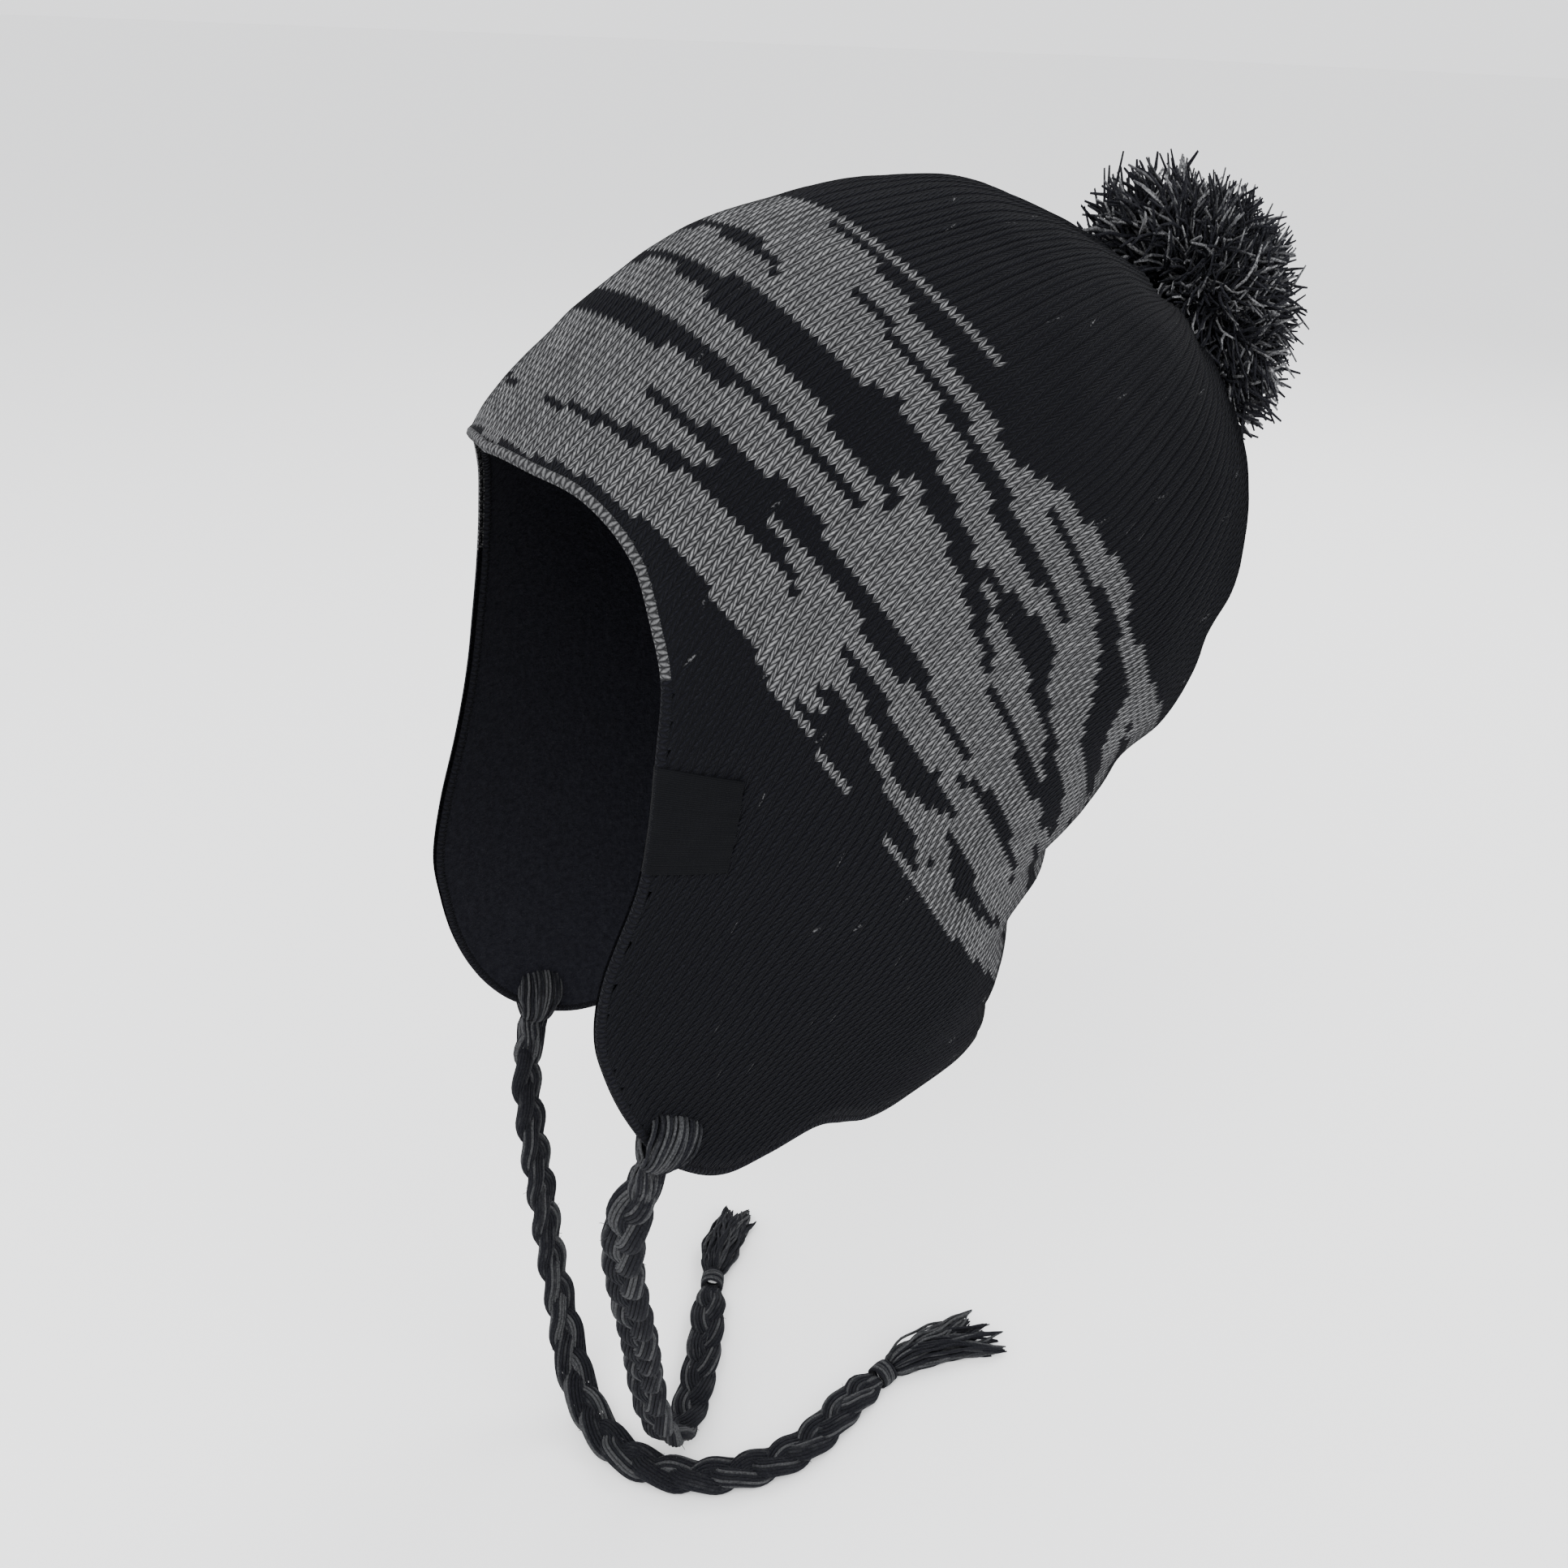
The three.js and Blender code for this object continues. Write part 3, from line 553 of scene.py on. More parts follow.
def knit_stitch_group():
    """Stocking stitch from a UV that counts wales across and courses up: its height, and a mask for painted
    shade in the gaps between its legs.
    """
    tree, w, given, out = new_group(
        "knit_stitch",
        [("UV", "Vector"), ("Slant", "Float", STITCH_SLANT)],
        [("Height", "Float"), ("Gap", "Float"), ("Number", "Vector")],
    )
    split = w.node("ShaderNodeSeparateXYZ", {0: given.outputs["UV"]})
    wale = w.math("FRACT", split.outputs["X"])
    from_middle = w.math("ABSOLUTE", w.math("SUBTRACT", wale, 0.5))
    across = w.times(from_middle, 2.0)
    lifted = w.times(across, given.outputs["Slant"])
    raised = w.math("SUBTRACT", split.outputs["Y"], lifted)
    up = w.math("FRACT", w.add_up(raised, 8.0))
    # One leg of the stitch is a rounded lozenge that leans in to the wale's middle
    leg_across = w.math("SINE", w.times(across, math.pi))
    leg_up = w.math("SINE", w.times(up, math.pi))
    round_across = w.math("POWER", w.math("MAXIMUM", leg_across, 0.0), 0.6)
    round_up = w.math("POWER", w.math("MAXIMUM", leg_up, 0.0), 0.5)
    height = w.times(round_across, round_up)
    w.link(height, out.inputs["Height"])
    # Where the legs are low, the gaps take painted shade
    w.link(w.spread(height, 0.3, 0.8, 1.0, 0.0), out.inputs["Gap"])
    column = w.math("FLOOR", split.outputs["X"])
    course = w.math("FLOOR", raised)
    leg = w.math("GREATER_THAN", wale, 0.5)
    number = w.node("ShaderNodeCombineXYZ", {0: column, 1: course, 2: leg})
    w.link(number.outputs[0], out.inputs["Number"])
    return tree


def fuzz_group():
    """Loose fibres over yarn: fine light hairs and a soft height, from Object coordinates."""
    tree, w, given, out = new_group(
        "yarn_fuzz",
        [("Place", "Vector"), ("Fineness", "Float", 1.0)],
        [("Hairs", "Float"), ("Height", "Float")],
    )
    place = w.scaled(given.outputs["Place"], given.outputs["Fineness"])
    wave = w.node("ShaderNodeTexNoise", {"Vector": place, "Scale": FIBRE_WAVES}).outputs["Color"]
    bend = {0: wave, 1: FIBRE_WANDER, 2: place}
    bent = w.node("ShaderNodeVectorMath", bend, operation="MULTIPLY_ADD").outputs[0]
    stretched = w.node("ShaderNodeMapping", {"Vector": bent, "Scale": (1.0, 0.22, 0.6)})
    hairs = w.noise(stretched.outputs[0], *LONG_FIBRES)
    across = {"Vector": bent, "Rotation": (0.6, 0.3, 0.9), "Scale": (0.25, 1.0, 0.5)}
    others = w.noise(w.node("ShaderNodeMapping", across).outputs[0], *CROSS_FIBRES)
    both = w.math("MAXIMUM", hairs, others)
    w.link(w.spread(both, 0.6, 0.74), out.inputs["Hairs"])
    soft = w.noise(place, *FUZZ_CLOUDS)
    w.link(w.add_up(w.times(soft, 0.6), w.times(both, 0.4)), out.inputs["Height"])
    return tree


def new_material(name, roughness, sheen, sheen_colour=(1.0, 1.0, 1.0)):
    material = bpy.data.materials.new(name)
    material.use_nodes = True
    material.node_tree.nodes.clear()
    wires = Wiring(material.node_tree)
    yarn = {"Roughness": roughness, "Specular IOR Level": 0.06}
    soft = {"Sheen Weight": sheen, "Sheen Roughness": 0.5, "Sheen Tint": colour(sheen_colour)}
    shader = wires.node("ShaderNodeBsdfPrincipled", {**yarn, **soft})
    wires.node("ShaderNodeOutputMaterial", {0: shader.outputs[0]})
    return material, wires, shader


def place_group(wires, tree, **values):
    return wires.node("ShaderNodeGroup", values, node_tree=tree)


def bumped(wires, shader, height, distance):
    bump = wires.node("ShaderNodeBump", {"Distance": distance, "Height": height})
    wires.link(bump.outputs[0], shader.inputs["Normal"])


def knit_material(stitch, fuzz):
    """The jacquard face: yarn colour by stitch, V stitches, heather flecks and fuzz, with painted shade in
    the gaps between the legs.
    """
    material, w, shader = new_material("jacquard_knit", 0.95, 0.015, (0.7, 0.72, 0.8))
    place = w.place()
    uv = w.uv("stitches")
    grey = w.attribute("grey_yarn")
    is_grey = w.math("GREATER_THAN", grey, 0.5)
    knit = place_group(w, stitch, UV=uv)
    hair = place_group(w, fuzz, Place=place, Fineness=1.0)
    by_stitch = w.node("ShaderNodeTexWhiteNoise", {"Vector": knit.outputs["Number"]}, noise_dimensions="3D")
    fleck = w.noise(place, *KNIT_FLECKS)
    heather = w.mix(w.spread(fleck, 0.34, 0.62), GREY_DARK, GREY_YARN)
    heather = w.mix(w.spread(fleck, 0.6, 0.78, 0.0, 0.8), heather, GREY_LIGHT)
    shade = w.spread(by_stitch.outputs["Value"], 0.0, 1.0, 0.8, 1.22)
    heather = w.mix(1.0, heather, grey_level(w, shade), "MULTIPLY")
    black = w.mix(w.spread(fleck, 0.45, 0.8), BLACK_YARN, BLACK_LIGHT)
    black = w.mix(w.times(hair.outputs["Hairs"], 0.10), black, GREY_DARK)
    # A grey stitch shows through the black here and there
    speck = w.math("GREATER_THAN", by_stitch.outputs["Value"], SPECK_FROM)
    black = w.mix(w.times(speck, w.spread(fleck, 0.5, 0.62, 0.0, 0.5)), black, GREY_YARN)
    yarn = w.mix(is_grey, black, heather)
    # Painted shade: the gaps between the stitch legs are darkened towards near black
    deep = w.times(knit.outputs["Gap"], w.spread(is_grey, 0.0, 1.0, 0.8, 0.9))
    w.link(w.mix(deep, yarn, GAP_PAINTED_SHADE), shader.inputs["Base Color"])
    stitch_height = w.add_up(knit.outputs["Height"], w.times(hair.outputs["Height"], 0.2))
    bumped(w, shader, stitch_height, KNIT_BUMP)
    return material


def grey_level(wires, value):
    """A plain grey colour of a varying level."""
    return wires.node("ShaderNodeCombineColor", {0: value, 1: value, 2: value}).outputs[0]


def lining_material(fuzz):
    """The inside of the knit: black, brushed and fuzzy."""
    material, w, shader = new_material("brushed_lining", 0.97, 0.02, (0.6, 0.6, 0.7))
    place = w.place()
    hair = place_group(w, fuzz, Place=place, Fineness=0.8)
    soft = w.noise(place, *LINING_CLOUDS)
    black = w.mix(w.spread(soft, 0.3, 0.75), BLACK_YARN, BLACK_LIGHT)
    hairy = w.mix(w.times(hair.outputs["Hairs"], 0.12), black, GREY_DARK)
    w.link(hairy, shader.inputs["Base Color"])
    bumped(w, shader, w.add_up(hair.outputs["Height"], soft), LINING_BUMP)
    return material


def hem_material(stitch, fuzz):
    """The rolled edge: drawn-out stitches that wrap round it. Its grey heather is darkened and the gaps
    between its stitches are darkened, both as painted shade.
    """
    material, w, shader = new_material("rolled_hem", 0.95, 0.015, (0.7, 0.72, 0.8))
    place = w.place()
    uv = w.uv("stitches")
    grey = w.attribute("grey_yarn")
    knit = place_group(w, stitch, UV=uv)
    hair = place_group(w, fuzz, Place=place, Fineness=1.0)
    fleck = w.noise(place, *HEM_FLECKS)
    heather = w.mix(w.spread(fleck, 0.36, 0.62), GREY_DARK, GREY_YARN)
    # Painted shade: the band's heather darkened where the edge rolls over
    heather = w.mix(1.0, heather, HEM_PAINTED_SHADE, "MULTIPLY")
    black = w.mix(w.spread(fleck, 0.45, 0.8), BLACK_YARN, BLACK_LIGHT)
    black = w.mix(w.times(hair.outputs["Hairs"], 0.14), black, GREY_DARK)
    yarn = w.mix(w.math("GREATER_THAN", grey, 0.5), black, heather)
    # Painted shade in the gaps between the hem's stitch legs
    deep = w.times(knit.outputs["Gap"], 0.8)
    w.link(w.mix(deep, yarn, GAP_PAINTED_SHADE), shader.inputs["Base Color"])
    height = w.add_up(knit.outputs["Height"], w.times(hair.outputs["Height"], 0.35))
    bumped(w, shader, height, HEM_BUMP)
    return material


def strand_material(name, fuzz, dark, light, light_share):
    """Loose or braided yarn: each strand lighter or darker by its own number and along its run."""
    material, w, shader = new_material(name, 0.9, 0.02, (0.75, 0.77, 0.85))
    place = w.place()
    strand = w.attribute("strand")
    member = w.attribute("member")
    strand = w.add_up(w.times(strand, 7.0), member)
    run = w.attribute("run")
    hair = place_group(w, fuzz, Place=place, Fineness=1.2)
    number = w.math("FLOOR", w.add_up(strand, 0.5))
    chance = w.node("ShaderNodeTexWhiteNoise", {"W": number}, noise_dimensions="1D")
    # Noise that changes slowly along a strand and wholly from one strand to the next
    strandwise = w.node("ShaderNodeCombineXYZ", {"X": run, "Y": w.times(strand, 0.3)})
    lasting = w.noise(strandwise.outputs[0], *STRAND_DRIFT)
    fleck = w.noise(place, *YARN_FLECKS)
    lightness = w.times(chance.outputs["Value"], 0.55)
    lightness = w.add_up(lightness, w.times(lasting, 0.45))
    is_light = w.spread(lightness, 0.92 - light_share, 1.08 - light_share)
    black = w.mix(w.spread(fleck, 0.42, 0.75), BLACK_YARN, dark)
    grey = w.mix(w.spread(fleck, 0.36, 0.66), dark, light)
    yarn = w.mix(is_light, black, grey)
    yarn = w.mix(w.times(hair.outputs["Hairs"], 0.3), yarn, light)
    w.link(yarn, shader.inputs["Base Color"])
    bumped(w, shader, w.add_up(lasting, hair.outputs["Height"]), YARN_BUMP)
    return material


def label_material():
    """Tight dark ribbon: fine ribs across it."""
    material, w, shader = new_material("woven_label", 0.85, 0.005, (0.6, 0.65, 0.8))
    uv = w.uv("weave")
    split = w.node("ShaderNodeSeparateXYZ", {0: uv})
    rib = w.math("SINE", w.times(split.outputs["Y"], 2 * math.pi / RIB_PITCH))
    weft = w.math("SINE", w.times(split.outputs["X"], 2 * math.pi / WEFT_PITCH))
    weave = w.times(w.spread(rib, -1.0, 1.0), w.spread(weft, -1.0, 1.0, 0.6, 1.0))
    place = w.place()
    wear = w.noise(place, *LABEL_WEAR)
    # Painted shade: darker in the grooves between ribs and weft, lighter on their tops, over the ribbon's
    # own dark colour
    cloth = w.mix(weave, LABEL_DARK, LABEL_LIGHT)
    cloth = w.mix(w.spread(wear, 0.4, 0.8, 0.0, 0.4), cloth, LABEL_LIGHT)
    w.link(cloth, shader.inputs["Base Color"])
    bumped(w, shader, w.add_up(weave, w.times(wear, 1.5)), LABEL_BUMP)
    return material


# Camera and light

CAMERA_AZIMUTH = 57.0
CAMERA_DISTANCE = 0.45
CAMERA_HEIGHT = 0.038
CAMERA_PITCH = 26.0
CAMERA_ROLL = 2.45
FOCAL_SHARE = 1900 / 1932
SENSOR = 36.0
CLIPS = (0.01, 200.0)
FLOOR_HALF_SIZE = 60.0
FLOOR_COLOUR = (0.94, 0.94, 0.94, 1.0)
# Soft lamps: name, place, size across and power; all of them face one place
LAMPS = [
    ("key", (0.9, -1.1, 1.3), 1.4, 42),
    ("fill", (1.6, 0.6, 0.5), 1.6, 16),
    ("front", (-0.9, -1.5, 0.3), 1.5, 14),
    ("back", (-0.6, 1.5, 1.2), 1.4, 24),
]
LIGHTS_AIM = (0.0, 0.0, -0.18)
SKY = (0.98, 0.985, 1.0, 1.0)
SKY_STRENGTH = 1.75


def stand_camera():
    azimuth = math.radians(CAMERA_AZIMUTH)
    pitch = math.radians(CAMERA_PITCH)
    roll = math.radians(CAMERA_ROLL)
    right = Vector((math.cos(azimuth), math.sin(azimuth), 0))
    level = Vector((-math.sin(azimuth), math.cos(azimuth), 0))
    forward = level * math.cos(pitch) - Vector((0, 0, 1)) * math.sin(pitch)
    up = level * math.sin(pitch) + Vector((0, 0, 1)) * math.cos(pitch)
    rolled_right = right * math.cos(roll) + up * math.sin(roll)
    rolled_up = up * math.cos(roll) - right * math.sin(roll)
    data = bpy.data.cameras.new("camera")
    data.sensor_width = SENSOR
    data.lens = SENSOR * FOCAL_SHARE
    data.clip_start, data.clip_end = CLIPS
    camera = bpy.data.objects.new("camera", data)
    bpy.context.scene.collection.objects.link(camera)
    place = -level * CAMERA_DISTANCE + Vector((0, 0, CAMERA_HEIGHT))
    turn = Matrix((rolled_right, rolled_up, -forward)).transposed()
    camera.matrix_world = Matrix.Translation(place) @ turn.to_4x4()
    bpy.context.scene.camera = camera


def lay_floor():
    half = FLOOR_HALF_SIZE
    points = [(x * half, y * half, SURFACE) for x, y in ((-1, -1), (1, -1), (1, 1), (-1, 1))]
    material, _, shader = new_material("pale_floor", 0.8, 0.0)
    shader.inputs["Base Color"].default_value = FLOOR_COLOUR
    floor = piece_from("floor", points, [(0, 1, 2, 3)], [material], smooth=False)


def light(name, place, size, power):
    data = bpy.data.lights.new(name, "AREA")
    data.shape = "DISK"
    data.size = size
    data.energy = power
    lamp = bpy.data.objects.new(name, data)
    bpy.context.scene.collection.objects.link(lamp)
    heading = Vector(LIGHTS_AIM) - Vector(place)
    lamp.matrix_world = Matrix.Translation(place) @ heading.to_track_quat("-Z", "Y").to_matrix().to_4x4()


def set_lights():
    for lamp in LAMPS:
        light(*lamp)
    world = bpy.data.worlds.new("studio")
    world.use_nodes = True
    background = world.node_tree.nodes["Background"]
    background.inputs["Color"].default_value = SKY
    background.inputs["Strength"].default_value = SKY_STRENGTH
    bpy.context.scene.world = world


# The ties


def lying_share(place):
    """How far a place on a tie has come to rest on the surface, from 0 to 1."""
    return float(smoothstep(np.array(-place.z), *LYING))


def flat_frames(places, headings, thin):
    """Wide and thin directions along a flat braid, which turns to lie flat where it rests."""
    frames = []
    up = Vector((0, 0, 1))
    wide = None
    for place, heading in zip(places, headings):
        share = lying_share(place)
        lying = heading.cross(up).normalized()
        free = heading.cross(thin).normalized()
        if free.dot(lying) < 0:
            free = -free
        wanted = lying * share + free * (1 - share)
        if wide is not None and wanted.dot(wide) < 0:
            wanted = -wanted
        wide = (wanted - heading * wanted.dot(heading)).normalized()
        frames.append((wide, heading.cross(wide)))
    return frames


def stray_hairs(places, frames, rng):
    """Loose fibres standing out of a braid."""
    hairs = []
    for _ in range(HAIRS):
        at = rng.randrange(2, len(places) - 2)
        wide, thin = frames[at]
        spin = rng.uniform(0, 2 * math.pi)
        across, through = math.cos(spin), math.sin(spin)
        out = wide * across + thin * through
        root = places[at] + wide * across * BRAID_HALF_WIDTH + thin * through * BRAID_HALF_THICKNESS
        lie = (places[at + 1] - places[at]).normalized() * rng.choice((-1, 1)) * HAIR_LIE
        reach = rng.uniform(*HAIR_REACH)
        curl = rng.uniform(*HAIR_CURL)
        hair = []
        for share in (0.0, 0.3, 0.6, 0.8, 1.0):
            bent = curl * share
            point = root + out * reach * math.sin(bent) + lie * reach * share * math.cos(bent)
            point.z = max(point.z, SURFACE + HAIR_RADIUS)
            hair.append(point)
        hairs.append(hair)
    return hairs


def braid_lines(route, thin):
    """The yarns of a three-strand flat braid along a route, with the route's places and length."""
    places, headings, length = smooth_route(route, BRAID_STEP)
    frames = flat_frames(places, headings, thin)
    step = length / (len(places) - 1)
    settled = [place - Vector((0, 0, BRAID_SETTLE * lying_share(place))) for place in places]
    runs = np.arange(len(places)) * step
    near_end = np.minimum(runs / BRAID_GATHERING[0], (length - runs) / BRAID_GATHERING[1])
    full = BRAID_GATHERED + (1 - BRAID_GATHERED) * smoothstep(near_end, 0.0, 1.0)
    lines = []
    for strand in range(3):
        centres = []
        for i, place in enumerate(settled):
            turn = 2 * math.pi * (i * step / BRAID_TURN + strand / 3)
            wide, flat = frames[i]
            # A strand keeps to the braid's edges longer than it takes to cross over
            swing = math.sin(turn) / math.sqrt(BRAID_DWELL + (1 - BRAID_DWELL) * math.sin(turn) ** 2)
            centres.append(
                place
                + wide * BRAID_HALF_WIDTH * full[i] * swing
                + flat * BRAID_HALF_THICKNESS * full[i] * math.sin(2 * turn)
            )
        for yarn in range(BUNDLE_YARNS + 1):
            # The last yarn runs down the bundle's middle
            share = 1.0 if yarn < BUNDLE_YARNS else 0.0
            line = []
            for i, centre in enumerate(centres):
                ahead = centres[min(i + 1, len(centres) - 1)] - centres[max(i - 1, 0)]
                heading = ahead.normalized()
                wide, flat = frames[i]
                side = (wide - heading * wide.dot(heading)).normalized()
                other = heading.cross(side)
                spin = 2 * math.pi * (yarn / BUNDLE_YARNS + i * step / BUNDLE_TWIST)
                across = side * BUNDLE_HALF_WIDTH * math.cos(spin)
                across += other * BUNDLE_HALF_THICKNESS * math.sin(spin)
                line.append(centre + across * share * math.sqrt(full[i]))
            lines.append(line)
    return lines, settled, frames, length


def yarn_piece(name, lines, radius, material, sides=7, closed=False, first=0):
    points, faces, numbers, runs = strand_tubes(lines, radius, sides, closed, 0.5)
    piece = piece_from(name, points, faces, [material])
    give_number(piece, "strand", [first + number for number in numbers])
    give_number(piece, "run", runs)
    return piece


# Half sizes of a loop's ring, outwards, downwards and across the bundle, and its crowning in the middle
LOOP_HALF_OUT = 0.0048
LOOP_HALF_DOWN = 0.0086
LOOP_HALF_ACROSS = 0.0072
LOOP_CROWNING = 0.0016
# Layers of its yarns, as a height and a number of yarns, and how the yarns stray across and in height
LOOP_LAYERS = [(-0.0014, 10), (-0.0004, 14), (0.0006, 17)]
LOOP_SINK = 0.0008
LOOP_STRAY = 0.0010
LOOP_UNEVEN = 0.0003
# How far the ring narrows at its foot
LOOP_GATHER = 0.4
# Its tails: where they start above the braid, their length, half width as a share, narrowing and half depth
LOOP_TAIL_START = 0.0015
LOOP_TAIL = 0.016
LOOP_TAIL_WIDTH = 0.6
LOOP_TAIL_NARROWS = 0.3
LOOP_TAIL_HALF_DEPTH = 0.0034
LOOP_YARN_RADIUS = 0.00052
RING_STEPS = 30
TAIL_STEPS = 7


def loop_ring(middle, ways, lean, share, lift, stray, phase):
    """One yarn of a loop: from the bottom, out and over the hem, through the eyelet, back down inside."""
    hang, out, across = ways
    ring = []
    for i in range(RING_STEPS + 1):
        turn = math.pi / 2 - i / RING_STEPS * 2 * math.pi
        gather = 1 - LOOP_GATHER * max(0.0, math.sin(turn))
        ring.append(
            middle
            + out * (LOOP_HALF_OUT + lift) * math.cos(turn)
            + hang * (LOOP_HALF_DOWN + lift) * math.sin(turn)
            + lean * math.sin(turn)
            + across * (share * LOOP_HALF_ACROSS * gather + stray * math.sin(turn + phase))
        )
    return ring


def loop_tail(start, heading, beside, over, reach):
    """One end of a loop's yarn, lying along the braid's start."""
    tail = []
    for i in range(1, TAIL_STEPS + 1):
        run = i / TAIL_STEPS
        aside = beside * (1 - LOOP_TAIL_NARROWS * run)
        above = over * math.sin(math.pi * (0.2 + 0.55 * run))
        tail.append(start + heading * (reach * run - LOOP_TAIL_START) + aside + above)
    return tail


def make_loop(name, node, degrees, route, material, seed):
    """The tie's yarn drawn through the flap: a bundle of thin yarns round the hem, leaning towards the
    braid, whose two ends run down together over the braid's start."""
    low, high = (Vector(corner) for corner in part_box(node))
    middle = (low + high) / 2
    hang, out, across = loop_directions(degrees)
    start = Vector(route[0])
    heading = (Vector(route[3]) - start).normalized()
    lean = across * (start - middle).dot(across)
    rng = random.Random(seed)
    lines = []
    for layer, yarns in LOOP_LAYERS:
        for yarn in range(yarns):
            share = (yarn / (yarns - 1) - 0.5) * 2
            stray = rng.uniform(-LOOP_STRAY, LOOP_STRAY)
            phase = rng.uniform(0, 2 * math.pi)
            lift = layer + LOOP_CROWNING * (1 - share**2) - LOOP_SINK
            lift += rng.uniform(-LOOP_UNEVEN, LOOP_UNEVEN)
            ring = loop_ring(middle, (hang, out, across), lean, share, lift, stray, phase)
            beside = across * share * LOOP_HALF_ACROSS * LOOP_TAIL_WIDTH
            tails = []
            for sign in (1, -1):
                reach = LOOP_TAIL * rng.uniform(0.4, 1.0)
                over = out * sign * (LOOP_TAIL_HALF_DEPTH + lift)
                tails.append(loop_tail(start, heading, beside, over, reach))
            lines.append(tails[0][::-1] + ring[1:-1] + tails[1])
    return yarn_piece(name, lines, LOOP_YARN_RADIUS, material, 5, first=300)


def loop_directions(degrees):
    """A loop's hanging, outward and sideways directions, from the flap's edge where it hangs."""
    angle = math.radians(degrees)
    course = float(edge_course(np.array(angle)))
    out = Vector(form_normal(np.array(angle), np.array(course)))

    def edge_at(turn):
        turned = math.radians(turn)
        return Vector(form_point(np.array(turned), edge_course(np.array(turned))))

    edgeway = (edge_at(degrees + 1) - edge_at(degrees - 1)).normalized()
    away = edgeway.cross(out).normalized()
    down = Vector((0, 0, -1))
    down = (down - out * down.dot(out)).normalized()
    hang = (away + down).normalized()
    return hang, out, hang.cross(out)


# A binding: how many winds, how far apart, their radius and how it swells, and where the first one lies
BINDING_WINDS = 7
BINDING_PITCH = 0.0010
BINDING_RADIUS = 0.0040
BINDING_SWELL = 0.0003
BINDING_START = 0.0009
BINDING_SLOPE = 0.0004
BINDING_STEPS = 28


def make_binding(name, end, heading, material):
    """Yarn wound tightly round the braid's end: a waist between braid and tassel."""
    lines = []
    side = heading.orthogonal().normalized()
    other = heading.cross(side)
    for wind in range(BINDING_WINDS):
        line = []
        radius = BINDING_RADIUS + BINDING_SWELL * math.sin(math.pi * (wind + 0.5) / BINDING_WINDS)
        for i in range(BINDING_STEPS):
            turn = i / BINDING_STEPS * 2 * math.pi
            ahead = BINDING_START + wind * BINDING_PITCH + BINDING_SLOPE * math.sin(turn + wind)
            round_it = side * math.cos(turn) + other * math.sin(turn)
            line.append(end + heading * ahead + round_it * radius)
        lines.append(line)
    return yarn_piece(name, lines, YARN_RADIUS, material, 6, closed=True, first=400)


# A tassel's strands: how many, in how many locks, their length at reach 1, how widely they fan at
# spread 1, how far they belly out, and the radius of the tassel's head and of a strand
TASSEL_STRANDS = 130
TASSEL_LOCKS = 11
TASSEL_LENGTHS = (0.044, 0.054)
TASSEL_FAN = 22
TASSEL_BELLY = 0.0046
TASSEL_HEAD = 0.0036
TASSEL_STRAND_RADIUS = 0.00058
# How unevenly its locks swing and curl, how far down they sink, and how much shorter some strands are
LOCK_SWING = 0.45
LOCK_CURL = 0.08
LOCK_SINK = (0.15, 0.9)
STRAND_SHORT = (0.84, 1.0)
# How far the tips keep apart less than the head does, how flat the tassel is, and the strands' waves
TIP_CLOSING = 0.75
TASSEL_FLATNESS = 0.8
STRAND_RIPPLE = 0.0005
STRAND_WAVES = 16
TASSEL_STEPS = 16
TASSEL_START = 0.0086


def make_tassel(name, start, heading, fan, material, seed):
    """Loose ends beyond the binding, swelling over the surface and ending in pointed locks."""
    rng = random.Random(seed)
    up = Vector((0, 0, 1))
    side = heading.cross(up).normalized()
    locks = []
    for _ in range(TASSEL_LOCKS):
        swing = math.radians(rng.gauss(0, LOCK_SWING) * TASSEL_FAN * fan["spread"] + fan["bend"])
        locks.append((swing, rng.uniform(*TASSEL_LENGTHS), rng.gauss(0, LOCK_CURL), rng.uniform(*LOCK_SINK)))
    lines = []
    for number in range(TASSEL_STRANDS):
        swing, length, curl, sunk = locks[number % TASSEL_LOCKS]
        spin = rng.uniform(0, 2 * math.pi)
        offset = math.sqrt(rng.random())
        length *= fan["reach"] * rng.uniform(*STRAND_SHORT)
        phase = rng.uniform(0, 2 * math.pi)
        line = []
        for i in range(TASSEL_STEPS):
            share = i / (TASSEL_STEPS - 1)
            turn = -swing * share**0.6 - curl * share**2
            ahead = heading * math.cos(turn) + side * math.sin(turn)
            swell = TASSEL_BELLY * math.sin(math.pi * share**0.8)
            spread = (TASSEL_HEAD * (1 - TIP_CLOSING * share) + swell) * offset
            ripple = STRAND_RIPPLE * math.sin(phase + share * STRAND_WAVES) * min(1, share * 4)
            flow = start + ahead * length * share + side * (spread * math.cos(spin) + ripple)
            flow += up * spread * TASSEL_FLATNESS * math.sin(spin)
            flow.z -= (start.z - SURFACE) * float(smoothstep(np.array(share), 0.1, 1.0)) * sunk
            flow.z = max(flow.z, SURFACE + TASSEL_STRAND_RADIUS)
            line.append(flow)
        lines.append(line)
    return yarn_piece(name, lines, TASSEL_STRAND_RADIUS, material, 5, first=500)


# Each tie: its side, the loop's place on the edge in degrees, its route, the way its flat side faces
# where it hangs free, and how its tassel bends, spreads and reaches
TIES = [
    ("left", 85.5, LEFT_TIE_ROUTE, (0.55, -0.83, 0.1), {"bend": -12, "spread": 0.35, "reach": 0.85}),
    ("right", -101.0, RIGHT_TIE_ROUTE, (0.83, 0.55, 0.0), {"bend": -20, "spread": 0.7, "reach": 1.0}),
]


